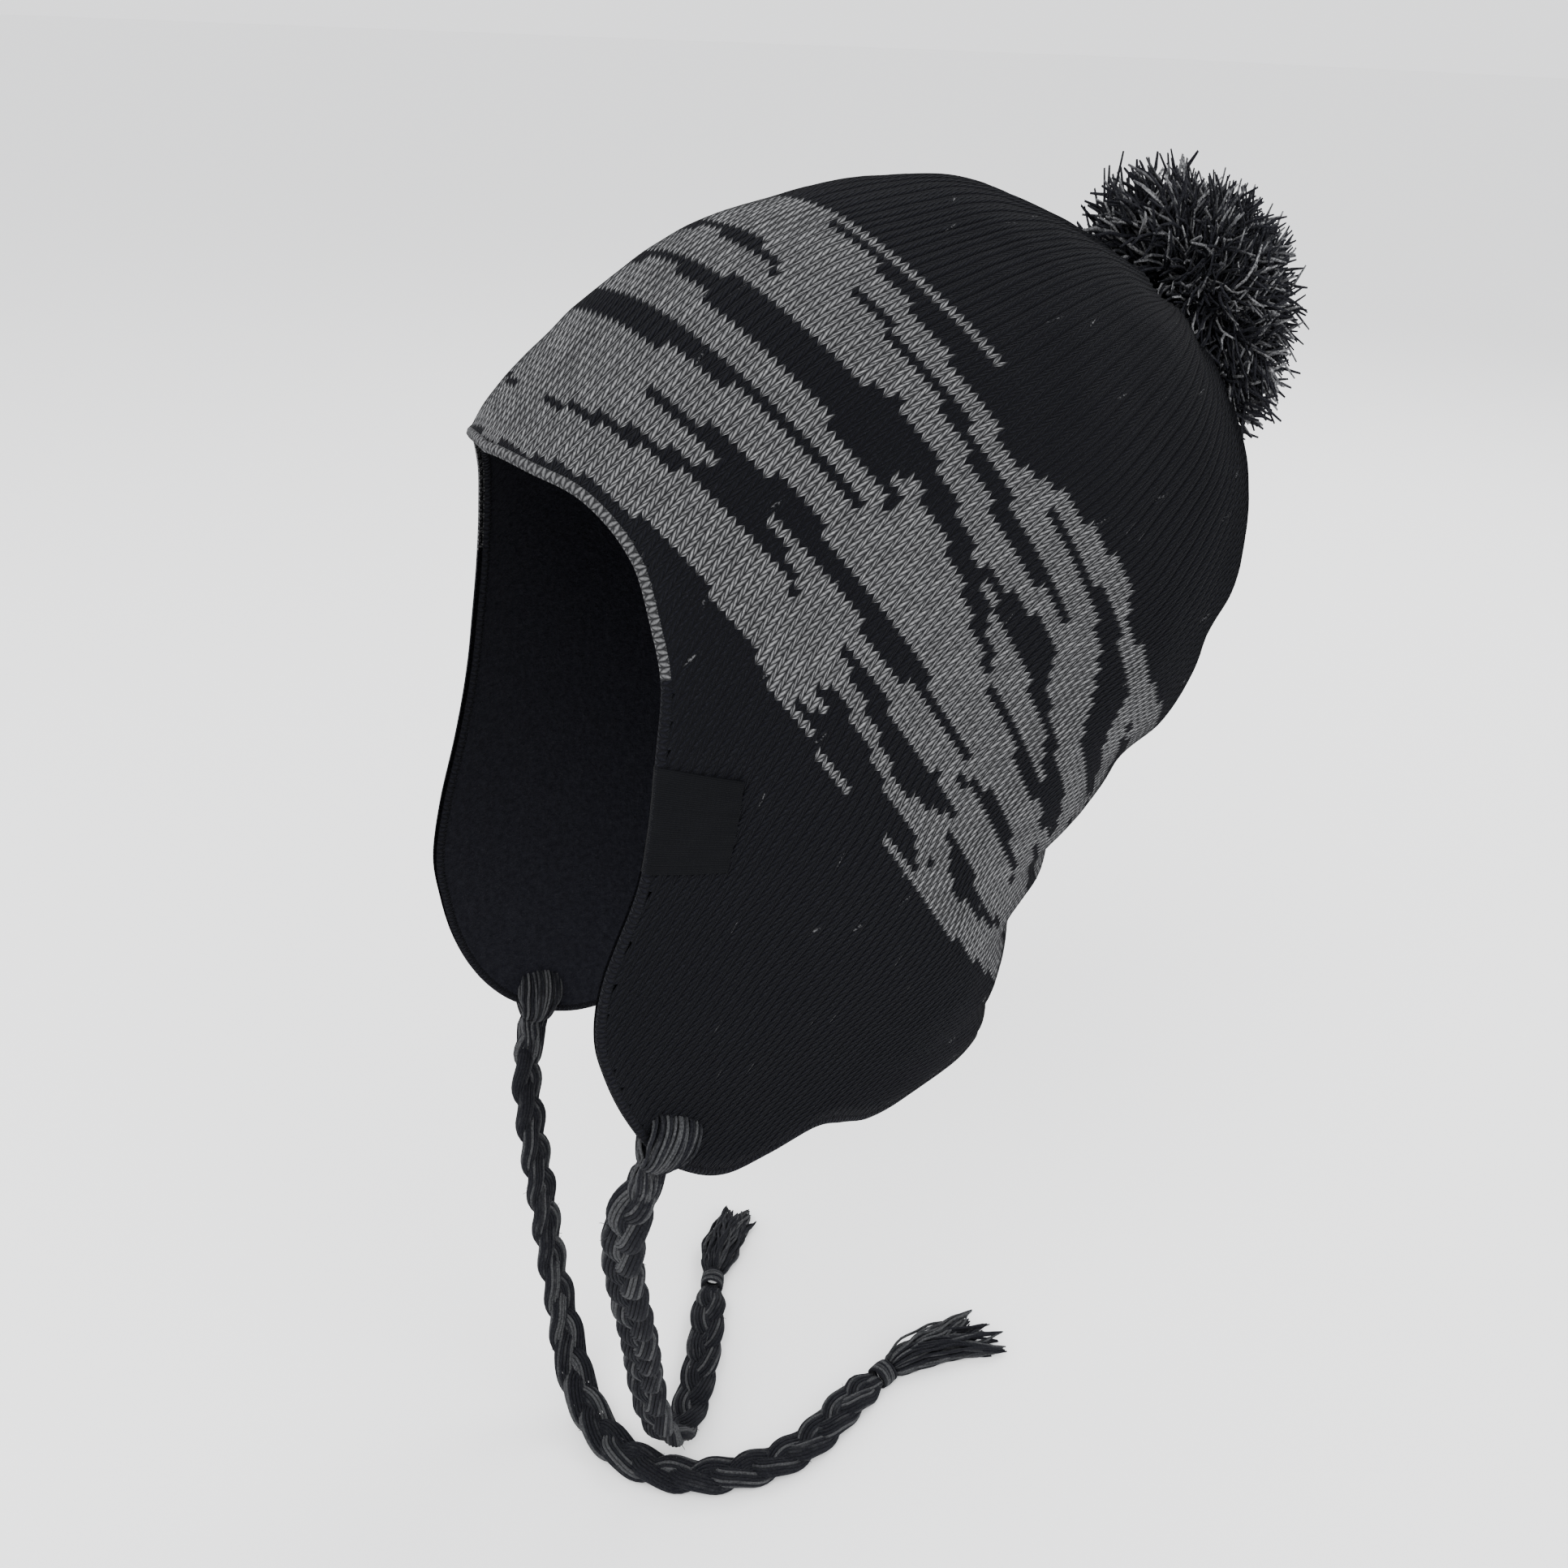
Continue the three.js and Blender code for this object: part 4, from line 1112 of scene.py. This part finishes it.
def make_ties(yarn):
    for seed, (side, degrees, route, thin, fan) in enumerate(TIES, 11):
        lines, places, frames, length = braid_lines(route, Vector(thin))
        hairs = stray_hairs(places, frames, random.Random(seed + 20))
        radii = [YARN_RADIUS] * len(lines) + [HAIR_RADIUS] * len(hairs)
        braid = yarn_piece(f"{side}_braid", lines + hairs, radii, yarn, 6)
        end = places[-1]
        heading = (places[-1] - places[-3]).normalized()
        binding = make_binding(f"{side}_binding", end, heading, yarn)
        tassel = make_tassel(f"{side}_tassel", end + heading * TASSEL_START, heading, fan, yarn, seed)
        loop = make_loop(f"{side}_loop", f"{side}_tie_loop", degrees, route, yarn, seed + 10)
        for piece, part in ((braid, "braid"), (binding, "binding"), (tassel, "tassel"), (loop, "loop")):
            finish_piece(piece, "tie_yarn", f"{side}_tie_{part}")


# The knit


def wale_angles():
    """The angle of each half wale, evenly spaced by length round a course above the flaps."""
    turn = np.radians(np.arange(-180, 180.01, 0.5))
    ring = form_point(turn, np.full_like(turn, 0.2))
    lengths = np.concatenate([[0], np.cumsum(np.linalg.norm(np.diff(ring, axis=0), axis=1))])
    wanted = np.linspace(0, lengths[-1], 2 * WALES + 1)
    return np.interp(wanted, lengths, turn)


def course_levels():
    """Courses a stitch apart, measured up the hat's side."""
    fine = np.arange(-1.2, 1.0001, 0.005)
    line = form_point(np.full_like(fine, math.pi / 2), fine)
    lengths = np.concatenate([[0], np.cumsum(np.linalg.norm(np.diff(line, axis=0), axis=1))])
    count = round(lengths[-1] / COURSE_HEIGHT)
    return np.interp(np.linspace(0, lengths[-1], count + 1), lengths, fine)


# Half the height of the thinnest streak, which is one stitch
THINNEST_STREAK = 0.0064
# Unevenness of a worn knit: how closely it comes and how high it stands, broad and narrow
RIPPLES = [(0.03, 1.3), (0.09, 0.35)]


def streak_holds(rows, degrees, course):
    table = np.array(rows)
    middle = np.interp(degrees, table[:, 0], table[:, 1])
    half = np.maximum(np.interp(degrees, table[:, 0], table[:, 2]), THINNEST_STREAK)
    inside = (degrees >= table[0, 0]) & (degrees <= table[-1, 0])
    return inside & (np.abs(course - middle) < half)


def grey_stitches(angle, course):
    """Which stitches are knitted in grey."""
    degrees = np.abs(np.degrees(wrap(angle)))
    grey = streak_holds(BAND, degrees, course)
    for rows in BLACK_STREAKS:
        grey &= ~streak_holds(rows, degrees, course)
    for rows in GREY_STREAKS:
        grey |= streak_holds(rows, degrees, course)
    return grey


def ripple(points):
    """Slight unevenness of a worn knit, in millimetres."""
    return np.array([sum(noise.noise(Vector(p) * close) * high for close, high in RIPPLES) for p in points])


# Half the depth of the groove between the wales' legs
RIB_HALF_DEPTH = 0.38
# In the crown every second wale stands out as well, from one course to another
PAIR_HALF_DEPTH = 0.26
PAIR_COURSES = (0.5, 0.68)
# The face lies this far under the solid's, and is smooth close to the edge
FACE_SINK = 0.25
CALM_COURSES = 0.08
# A stitch takes its colour this share of its height below its middle
STITCH_DROP = 0.4
# The rolled hem: sweeps of its section in degrees, how far it stands out of the wall and lies back from
# the edge, how much closer it starts, the width and rise of its stitches, and where it is grey
HEM_SWEEPS = (-62, -30, 0, 30, 60, 90, 120, 150, 180, 210, 240)
HEM_OUT = 0.25
HEM_BACK = 0.6
HEM_START = 0.86
HEM_STITCH = 3.1
HEM_RISE = 0.42
HEM_GREY_DEGREES = 47
HEM_GREY_RINGS = 4
# The lining: shares of the way up for its rings of points, and how many half wales to a face
LINING_SHARES = [0.0, 0.01, 0.025, 0.05, *np.linspace(0.08, 1, 62)]
LINING_HALF_WALES = 3


def knit_face(angles, levels):
    """The outer face, two faces to a stitch: points, faces, UVs in wales and courses, and grey stitches."""
    columns = 2 * WALES
    rows = len(levels)
    spacing = np.gradient(levels)
    index = -np.ones((columns, rows), dtype=int)
    lower = edge_course(angles[:columns])
    grid_angle = []
    grid_course = []
    for column in range(columns):
        # A wale's middle hangs lower than its sides, which gives the stitches their V
        shift = -STITCH_SLANT * spacing if column % 2 else 0 * spacing
        course = np.minimum(levels + shift, 1.0)
        clamped = np.maximum(course, lower[column])
        first = max(0, int(np.searchsorted(course, lower[column])) - 1)
        for row in range(first, rows):
            index[column, row] = len(grid_angle)
            grid_angle.append(angles[column])
            grid_course.append(clamped[row])
    grid_angle = np.array(grid_angle)
    grid_course = np.array(grid_course)
    outer = knit_point(grid_angle, grid_course)
    normal = form_normal(grid_angle, grid_course)
    uneven = ripple(outer)
    calm = smoothstep(grid_course - edge_course(grid_angle), 0.0, CALM_COURSES)
    outer = outer + normal * (uneven * calm - FACE_SINK)[:, None]
    column_of = np.round(np.interp(grid_angle, angles, np.arange(columns + 1))).astype(int)
    rib = np.where(column_of % 2 == 1, -RIB_HALF_DEPTH, RIB_HALF_DEPTH)
    outer = outer + normal * (rib * calm)[:, None]
    pair = np.where((column_of // 2) % 2 == 1, -PAIR_HALF_DEPTH, PAIR_HALF_DEPTH)
    outer = outer + normal * (pair * smoothstep(grid_course, *PAIR_COURSES))[:, None]
    faces = []
    uvs = []
    greys = []
    for column in range(columns):
        after = (column + 1) % columns
        middle = angles[2 * (column // 2) + 1]
        low_u = column / 2
        high_u = (column + 1) / 2
        present = [row for row in range(rows - 1) if min(index[column, row], index[after, row]) >= 0]
        wanted = [(levels[row] + levels[row + 1]) / 2 - STITCH_DROP * spacing[row] for row in present]
        tints = grey_stitches(np.full(len(present), middle), np.array(wanted))
        for row, grey in zip(present, tints):
            over = row + 1
            faces.append((index[column, row], index[after, row], index[after, over], index[column, over]))
            uvs.extend([(low_u, row), (high_u, row), (high_u, over), (low_u, over)])
            greys.append(float(grey))
    return list(outer * MM), faces, uvs, greys


def ring_corners(first, count, ring, place):
    """A face between two rings of points: its corners, seen from outside the edge."""
    after = (place + 1) % count
    here = first + ring * count
    there = here + count
    return (here + after, here + place, there + place, there + after)


def rolled_hem(angles, first):
    """A bead along the edge that joins the face to the lining."""
    columns = 2 * WALES
    hem_columns = np.linspace(0, columns, columns * 2 + 1)[:-1]
    hem_angle = np.interp(hem_columns, np.arange(columns + 1), angles)
    hem_course = edge_course(hem_angle)
    front = knit_point(hem_angle, hem_course)
    back = knit_point(hem_angle, hem_course, -WALL)
    middle = (front + back) / 2
    ahead = np.roll(middle, -1, axis=0) - np.roll(middle, 1, axis=0)
    across = front - back
    across /= np.linalg.norm(across, axis=1, keepdims=True)
    away = np.cross(across, ahead)
    away /= np.linalg.norm(away, axis=1, keepdims=True)
    radius = WALL / 2 + HEM_OUT
    centre = middle - away * HEM_BACK
    points = []
    for sweep in np.radians(HEM_SWEEPS):
        reach = radius * (1.0 if sweep > -1 else HEM_START)
        points.extend((centre + (across * math.cos(sweep) + away * math.sin(sweep)) * reach) * MM)
    length = np.concatenate([[0], np.cumsum(np.linalg.norm(np.diff(middle, axis=0), axis=1))])
    stitch_u = length / HEM_STITCH
    is_grey = (np.abs(np.degrees(hem_angle)) < HEM_GREY_DEGREES).astype(float)
    faces = []
    uvs = []
    greys = []
    count = len(hem_angle)
    for ring in range(len(HEM_SWEEPS) - 1):
        for place in range(count):
            faces.append(ring_corners(first, count, ring, place))
            u0 = stitch_u[place]
            u1 = stitch_u[place + 1] if place + 1 < count else u0 + 0.5
            v0, v1 = ring * HEM_RISE, (ring + 1) * HEM_RISE
            uvs.extend([(u1, v0), (u0, v0), (u0, v1), (u1, v1)])
            greys.append(is_grey[place] if ring < HEM_GREY_RINGS else 0.0)
    return points, faces, uvs, greys


def knit_lining(angles, first):
    """The inside of the knit, plain and black."""
    angle = angles[np.arange(0, 2 * WALES, LINING_HALF_WALES)]
    low = edge_course(angle)
    points = []
    for share in LINING_SHARES:
        points.extend(knit_point(angle, low + (1 - low) * share, -WALL) * MM)
    count = len(angle)
    rings = range(len(LINING_SHARES) - 1)
    faces = [ring_corners(first, count, ring, place) for ring in rings for place in range(count)]
    return points, faces, [(0, 0)] * (4 * len(faces)), [0.0] * len(faces)


def make_knit(materials):
    angles = wale_angles()
    points, faces, uvs, greys = knit_face(angles, course_levels())
    slots = [0] * len(faces)
    for slot, make in ((1, rolled_hem), (2, knit_lining)):
        more_points, more_faces, more_uvs, more_greys = make(angles, len(points))
        points.extend(more_points)
        faces.extend(more_faces)
        uvs.extend(more_uvs)
        greys.extend(more_greys)
        slots.extend([slot] * len(more_faces))
    piece = piece_from("knit_body_jacquard", points, faces, materials)
    piece.data.polygons.foreach_set("material_index", np.array(slots, dtype=np.int32))
    layer = piece.data.uv_layers.new(name="stitches")
    layer.data.foreach_set("uv", np.array(uvs, dtype=np.float32).ravel())
    give_number(piece, "grey_yarn", greys, "FACE")
    # The crown's tip closes under the pompom, outside and in
    shape = bmesh.new()
    shape.from_mesh(piece.data)
    bmesh.ops.holes_fill(shape, edges=[e for e in shape.edges if e.is_boundary and near_tip(e)], sides=0)
    bmesh.ops.dissolve_degenerate(shape, edges=shape.edges, dist=1e-6)
    shape.to_mesh(piece.data)
    shape.free()
    piece.data.shade_smooth()
    return finish_piece(piece, "body_yarn", "knit_body")


# An edge this close to the tip, in metres, is on the rim that is closed
NEAR_TIP = 0.03
TIP = form_point(np.linspace(-math.pi, math.pi, 24, endpoint=False), np.full(24, 1.0)).mean(axis=0)


def near_tip(edge):
    middle = (edge.verts[0].co + edge.verts[1].co) / 2
    return (middle - Vector(TIP) * MM).length < NEAR_TIP


# The label


def front_edge(height):
    """The angle of the near flap's front edge at a height."""
    angles = np.radians(np.linspace(38, 70, 640))
    heights = form_point(angles, edge_course(angles))[:, 2]
    return float(angles[np.argmin(np.abs(heights - height))])


def side_place(y, z, angle, course):
    """Angle and course where the form passes a place seen from the side."""
    step = 0.002
    for _ in range(8):
        here = form_point(np.array(angle), np.array(course))
        around = (form_point(np.array(angle + step), np.array(course)) - here) / step
        up = (form_point(np.array(angle), np.array(course + step)) - here) / step
        off_y, off_z = y - here[1], z - here[2]
        size = around[1] * up[2] - around[2] * up[1]
        angle += (off_y * up[2] - off_z * up[1]) / size
        course += (around[1] * off_z - around[2] * off_y) / size
    return angle, course


# The label: its top, height and rows; the length of its leaves outside and inside, and their steps; its
# fall to the back at top and foot; how far it clears the wall, its pucker, thickness and width by length
LABEL_TOP = -132.0
LABEL_HEIGHT = 29.5
LABEL_ROWS = 32
LABEL_LEAVES = [(19.0, 1), (9.0, -1)]
LEAF_STEPS = 20
FOLD_STEPS = 10
LABEL_FALLS = (0.22, 0.04)
LABEL_CLEARS = 0.55
LABEL_PUCKER = 0.12
PUCKER_WAVES = 1.1
LABEL_THICKNESS = 0.0006
LABEL_CLOTH = (0.040, 0.031)


def label_line(row):
    """One row of the label across its outer leaf, round the edge and across its inner leaf."""
    z = LABEL_TOP - LABEL_HEIGHT * row / LABEL_ROWS
    fall = LABEL_FALLS[0] + (LABEL_FALLS[1] - LABEL_FALLS[0]) * row / LABEL_ROWS
    lift = WALL / 2 + LABEL_CLEARS
    edge = front_edge(z)
    course = float(edge_course(np.array(edge)))
    edge_point = form_point(np.array(edge), np.array(course))
    out = Vector(form_normal(np.array(edge), np.array(course)))
    middle = Vector(knit_point(np.array(edge), np.array(course), -WALL / 2))
    later = front_edge(z - 1)
    later_point = form_point(np.array(later), edge_course(np.array(later)))
    edgeway = Vector(later_point - edge_point).normalized()
    away = edgeway.cross(out).normalized()
    leaves = []
    for length, side in LABEL_LEAVES:
        leaf = []
        for step in range(LEAF_STEPS):
            back = (step + 1) / LEAF_STEPS * length
            angle, at = side_place(edge_point[1] + back, edge_point[2] - fall * back, edge, course)
            normal = Vector(form_normal(np.array(angle), np.array(at)))
            centre = Vector(knit_point(np.array(angle), np.array(at), -WALL / 2))
            loose = float(smoothstep(np.array(back / length), 0.6, 1))
            pucker = LABEL_PUCKER * math.sin(row * PUCKER_WAVES) * loose
            leaf.append(centre + normal * side * (lift + pucker))
        leaves.append(leaf)
    sweeps = [step / FOLD_STEPS * math.pi for step in range(FOLD_STEPS + 1)]
    fold = [middle + out * lift * math.cos(sweep) + away * lift * math.sin(sweep) for sweep in sweeps]
    return [*reversed(leaves[0]), *fold, *leaves[1]]


def make_label(material):
    """A strip of ribbon folded over the near flap's front edge and sewn flat."""
    grid = [label_line(row) for row in range(LABEL_ROWS + 1)]
    points = [p * MM for line in grid for p in line]
    across = len(grid[0])
    faces = []
    uvs = []
    for row in range(LABEL_ROWS):
        for step in range(across - 1):
            a = row * across + step
            faces.append((a, a + across, a + across + 1, a + 1))
            for r, s in ((row, step), (row + 1, step), (row + 1, step + 1), (row, step + 1)):
                uvs.append((s / across * LABEL_CLOTH[0], r / LABEL_ROWS * LABEL_CLOTH[1]))
    piece = piece_from("side_label_ribbon", points, faces, [material])
    layer = piece.data.uv_layers.new(name="weave")
    layer.data.foreach_set("uv", np.array(uvs, dtype=np.float32).ravel())
    thick = piece.modifiers.new("thickness", "SOLIDIFY")
    thick.thickness = LABEL_THICKNESS
    thick.offset = 1.0
    return finish_piece(piece, "label_cloth", "side_label")


# The pompom

# A round ball of strands, made taller as a whole. None grows where it would face the crown.
POMPOM_CENTRE = Vector((0.0065, 0.1462, -0.0405))
POMPOM_CORE = 0.0110
POMPOM_TALL = 1.24
POMPOM_FACING = Vector((0.0, 0.95, 0.3)).normalized()
PARTING = -0.55
TUFT_LENGTH = 0.0220
TUFT_STEPS = 9
TUFT_BEND = (0.006, 0.016)
TUFT_SPIRAL = (0.6, 1.8)
# A strand's waves in its tuft: how many, how high, how far the tips splay, and how short some are
STRAND_TURNS = (1.0, 1.9)
STRAND_SWELL = (0.0006, 0.0013)
STRAND_SPLAY = (0.001, 0.004)
STRAND_REACH = (0.85, 1.0)
STRAND_APART = 0.0004
STRAND_TIP = 0.6
# Tufts on a square metre of the ball, the way they lean, and the range of their sizes
TUFT_DENSITY = 1020000.0
TUFT_LEAN = 0.42
TUFT_SIZES = (0.8, 1.1)
TUFT_SEED = 3
SPIN_SEED = 5
SIZE_SEED = 9
# The first tuft's own seed; the others count on from it
FIRST_SHAPE = 40
TUFT_STRANDS = 3
STRAND_RADIUS = 0.00045
TUFT_KINDS = 12
# Lobes where the ball is pulled out longer: which way, and by what share
LOBES = [((-0.66, -0.45, 0.60), 0.30), ((0.57, 0.17, -0.80), 0.14)]


def tuft_shape(name, seed):
    """A tuft of wavy yarn strands that part towards their tips, rooted at the origin and growing along
    +Z."""
    rng = random.Random(seed)
    bend = rng.uniform(*TUFT_BEND)
    heading = rng.uniform(0, 2 * math.pi)
    spiral = rng.uniform(*TUFT_SPIRAL)
    lines = []
    for strand in range(TUFT_STRANDS):
        waves = rng.uniform(*STRAND_TURNS)
        swell = rng.uniform(*STRAND_SWELL)
        phase = rng.uniform(0, 2 * math.pi)
        apart = strand / TUFT_STRANDS * 2 * math.pi + rng.uniform(-0.5, 0.5)
        splay = rng.uniform(*STRAND_SPLAY)
        reach = TUFT_LENGTH * rng.uniform(*STRAND_REACH)
        line = []
        for i in range(TUFT_STEPS):
            share = i / (TUFT_STEPS - 1)
            grown = min(1, share * 2.5)
            turn = phase + share * math.pi * 2 * waves
            bent = heading + spiral * share
            off = STRAND_APART + splay * share**2
            sums = ((bend * share**2, bent), (off, apart), (swell * grown, turn))
            x = sum(size * math.cos(way) for size, way in sums)
            y = sum(size * math.sin(way) for size, way in sums)
            line.append(Vector((x, y, reach * share)))
        lines.append(line)
    points, faces, numbers, runs = strand_tubes(lines, STRAND_RADIUS, 3, False, STRAND_TIP)
    piece = piece_from(name, points, faces, [])
    give_number(piece, "run", runs)
    give_number(piece, "member", numbers)
    return piece


def pull_lobes(mesh):
    """Longer strands in the pompom's lobes: points are moved out from the middle the more they lie that
    way."""
    places = np.empty(len(mesh.vertices) * 3)
    mesh.vertices.foreach_get("co", places)
    places = places.reshape(-1, 3)
    ways = places / np.linalg.norm(places, axis=1, keepdims=True)
    stretch = np.ones(len(places))
    for way, share in LOBES:
        stretch += share * smoothstep(ways @ np.array(way), 0.55, 1.0)
    mesh.vertices.foreach_set("co", (places * stretch[:, None]).ravel())


def pompom_tree(shapes, material):
    """Strands grown out of a ball, turned and sized at random from a fixed seed."""
    tree, w, given, out = new_group(
        "grow_strands",
        [("Geometry", "Geometry"), ("Density", "Float"), ("Seed", "Int"), ("Lean", "Float")],
        [("Geometry", "Geometry")],
        "GeometryNodeTree",
    )
    density, seed, lean = (given.outputs[name] for name in ("Density", "Seed", "Lean"))
    inputs = {"Mesh": given.outputs["Geometry"], "Density": density, "Seed": seed}
    scatter = w.node("GeometryNodeDistributePointsOnFaces", inputs, distribute_method="RANDOM")
    together = w.add("GeometryNodeGeometryToInstance")
    for shape in shapes:
        info = w.node("GeometryNodeObjectInfo", {"Object": shape})
        w.link(info.outputs["Geometry"], together.inputs["Geometry"])
    align = w.node("FunctionNodeAlignRotationToVector", {"Vector": scatter.outputs["Normal"]}, axis="Z")
    leans = {"Min": w.scaled((-1.0, -1.0, 0.0), lean), "Max": w.scaled((1.0, 1.0, 0.0), lean), "Seed": seed}
    tilt = w.node("FunctionNodeRandomValue", leans, data_type="FLOAT_VECTOR")
    spin = w.node("FunctionNodeRandomValue", {2: 0.0, 3: 2 * math.pi, "Seed": SPIN_SEED}, data_type="FLOAT")
    turns = {"Rotation": align.outputs["Rotation"], "Rotate By": tilt.outputs["Value"]}
    turned = w.node("FunctionNodeRotateRotation", turns, rotation_space="LOCAL")
    about = w.node("ShaderNodeCombineXYZ", {"Z": spin.outputs[1]})
    spins = {"Rotation": turned.outputs["Rotation"], "Rotate By": about.outputs[0]}
    spun = w.node("FunctionNodeRotateRotation", spins, rotation_space="LOCAL")
    smallest, largest = TUFT_SIZES
    sizes = {2: smallest, 3: largest, "Seed": SIZE_SEED}
    size = w.node("FunctionNodeRandomValue", sizes, data_type="FLOAT")
    inputs = {
        "Points": scatter.outputs["Points"],
        "Instance": together.outputs[0],
        "Pick Instance": True,
        "Rotation": spun.outputs["Rotation"],
        "Scale": size.outputs[1],
    }
    place = w.node("GeometryNodeInstanceOnPoints", inputs)
    number = w.add("GeometryNodeInputIndex").outputs[0]
    inputs = {"Name": "strand", "Geometry": place.outputs[0], "Value": number}
    store = w.node("GeometryNodeStoreNamedAttribute", inputs, data_type="FLOAT", domain="INSTANCE")
    real = w.node("GeometryNodeRealizeInstances", {0: store.outputs[0]})
    paint = w.node("GeometryNodeSetMaterial", {"Material": material, "Geometry": real.outputs[0]})
    w.link(paint.outputs[0], out.inputs[0])
    return tree


def make_pompom(material):
    shapes = [tuft_shape(f"tuft_shape_{number}", FIRST_SHAPE + number) for number in range(TUFT_KINDS)]
    ball = bmesh.new()
    bmesh.ops.create_icosphere(ball, subdivisions=4, radius=POMPOM_CORE)
    mesh = bpy.data.meshes.new("pompom_core")
    hidden = [face for face in ball.faces if face.normal.dot(POMPOM_FACING) < PARTING]
    bmesh.ops.delete(ball, geom=hidden, context="FACES")
    ball.to_mesh(mesh)
    ball.free()
    core = bpy.data.objects.new("pompom_core", mesh)
    bpy.context.scene.collection.objects.link(core)
    tree = pompom_tree(shapes, material)
    grow = core.modifiers.new("grow", "NODES")
    grow.node_group = tree
    sockets = {item.name: item.identifier for item in tree.interface.items_tree if item.in_out == "INPUT"}
    for name, value in (("Density", TUFT_DENSITY), ("Seed", TUFT_SEED), ("Lean", TUFT_LEAN)):
        grow[sockets[name]] = value
    graph = bpy.context.evaluated_depsgraph_get()
    grown = bpy.data.meshes.new_from_object(core.evaluated_get(graph))
    grown.name = "pompom_yarn"
    pull_lobes(grown)
    grown.transform(Matrix.Translation(POMPOM_CENTRE) @ Matrix.Diagonal((1, 1, POMPOM_TALL, 1)))
    piece = bpy.data.objects.new("pompom_strands", grown)
    bpy.context.scene.collection.objects.link(piece)
    for extra in (core, *shapes):
        bpy.data.objects.remove(extra)
    piece.data.shade_smooth()
    return finish_piece(piece, "pompom_yarn", "pompom")


stand_camera()
lay_floor()
set_lights()
stitch = knit_stitch_group()
fuzz = fuzz_group()
tie_yarn = strand_material("tie_yarn", fuzz, TIE_DARK, TIE_LIGHT, 0.4)
make_ties(tie_yarn)
make_knit([knit_material(stitch, fuzz), hem_material(stitch, fuzz), lining_material(fuzz)])
make_label(label_material())
make_pompom(strand_material("pompom_yarn", fuzz, POMPOM_DARK, POMPOM_LIGHT, 0.33))
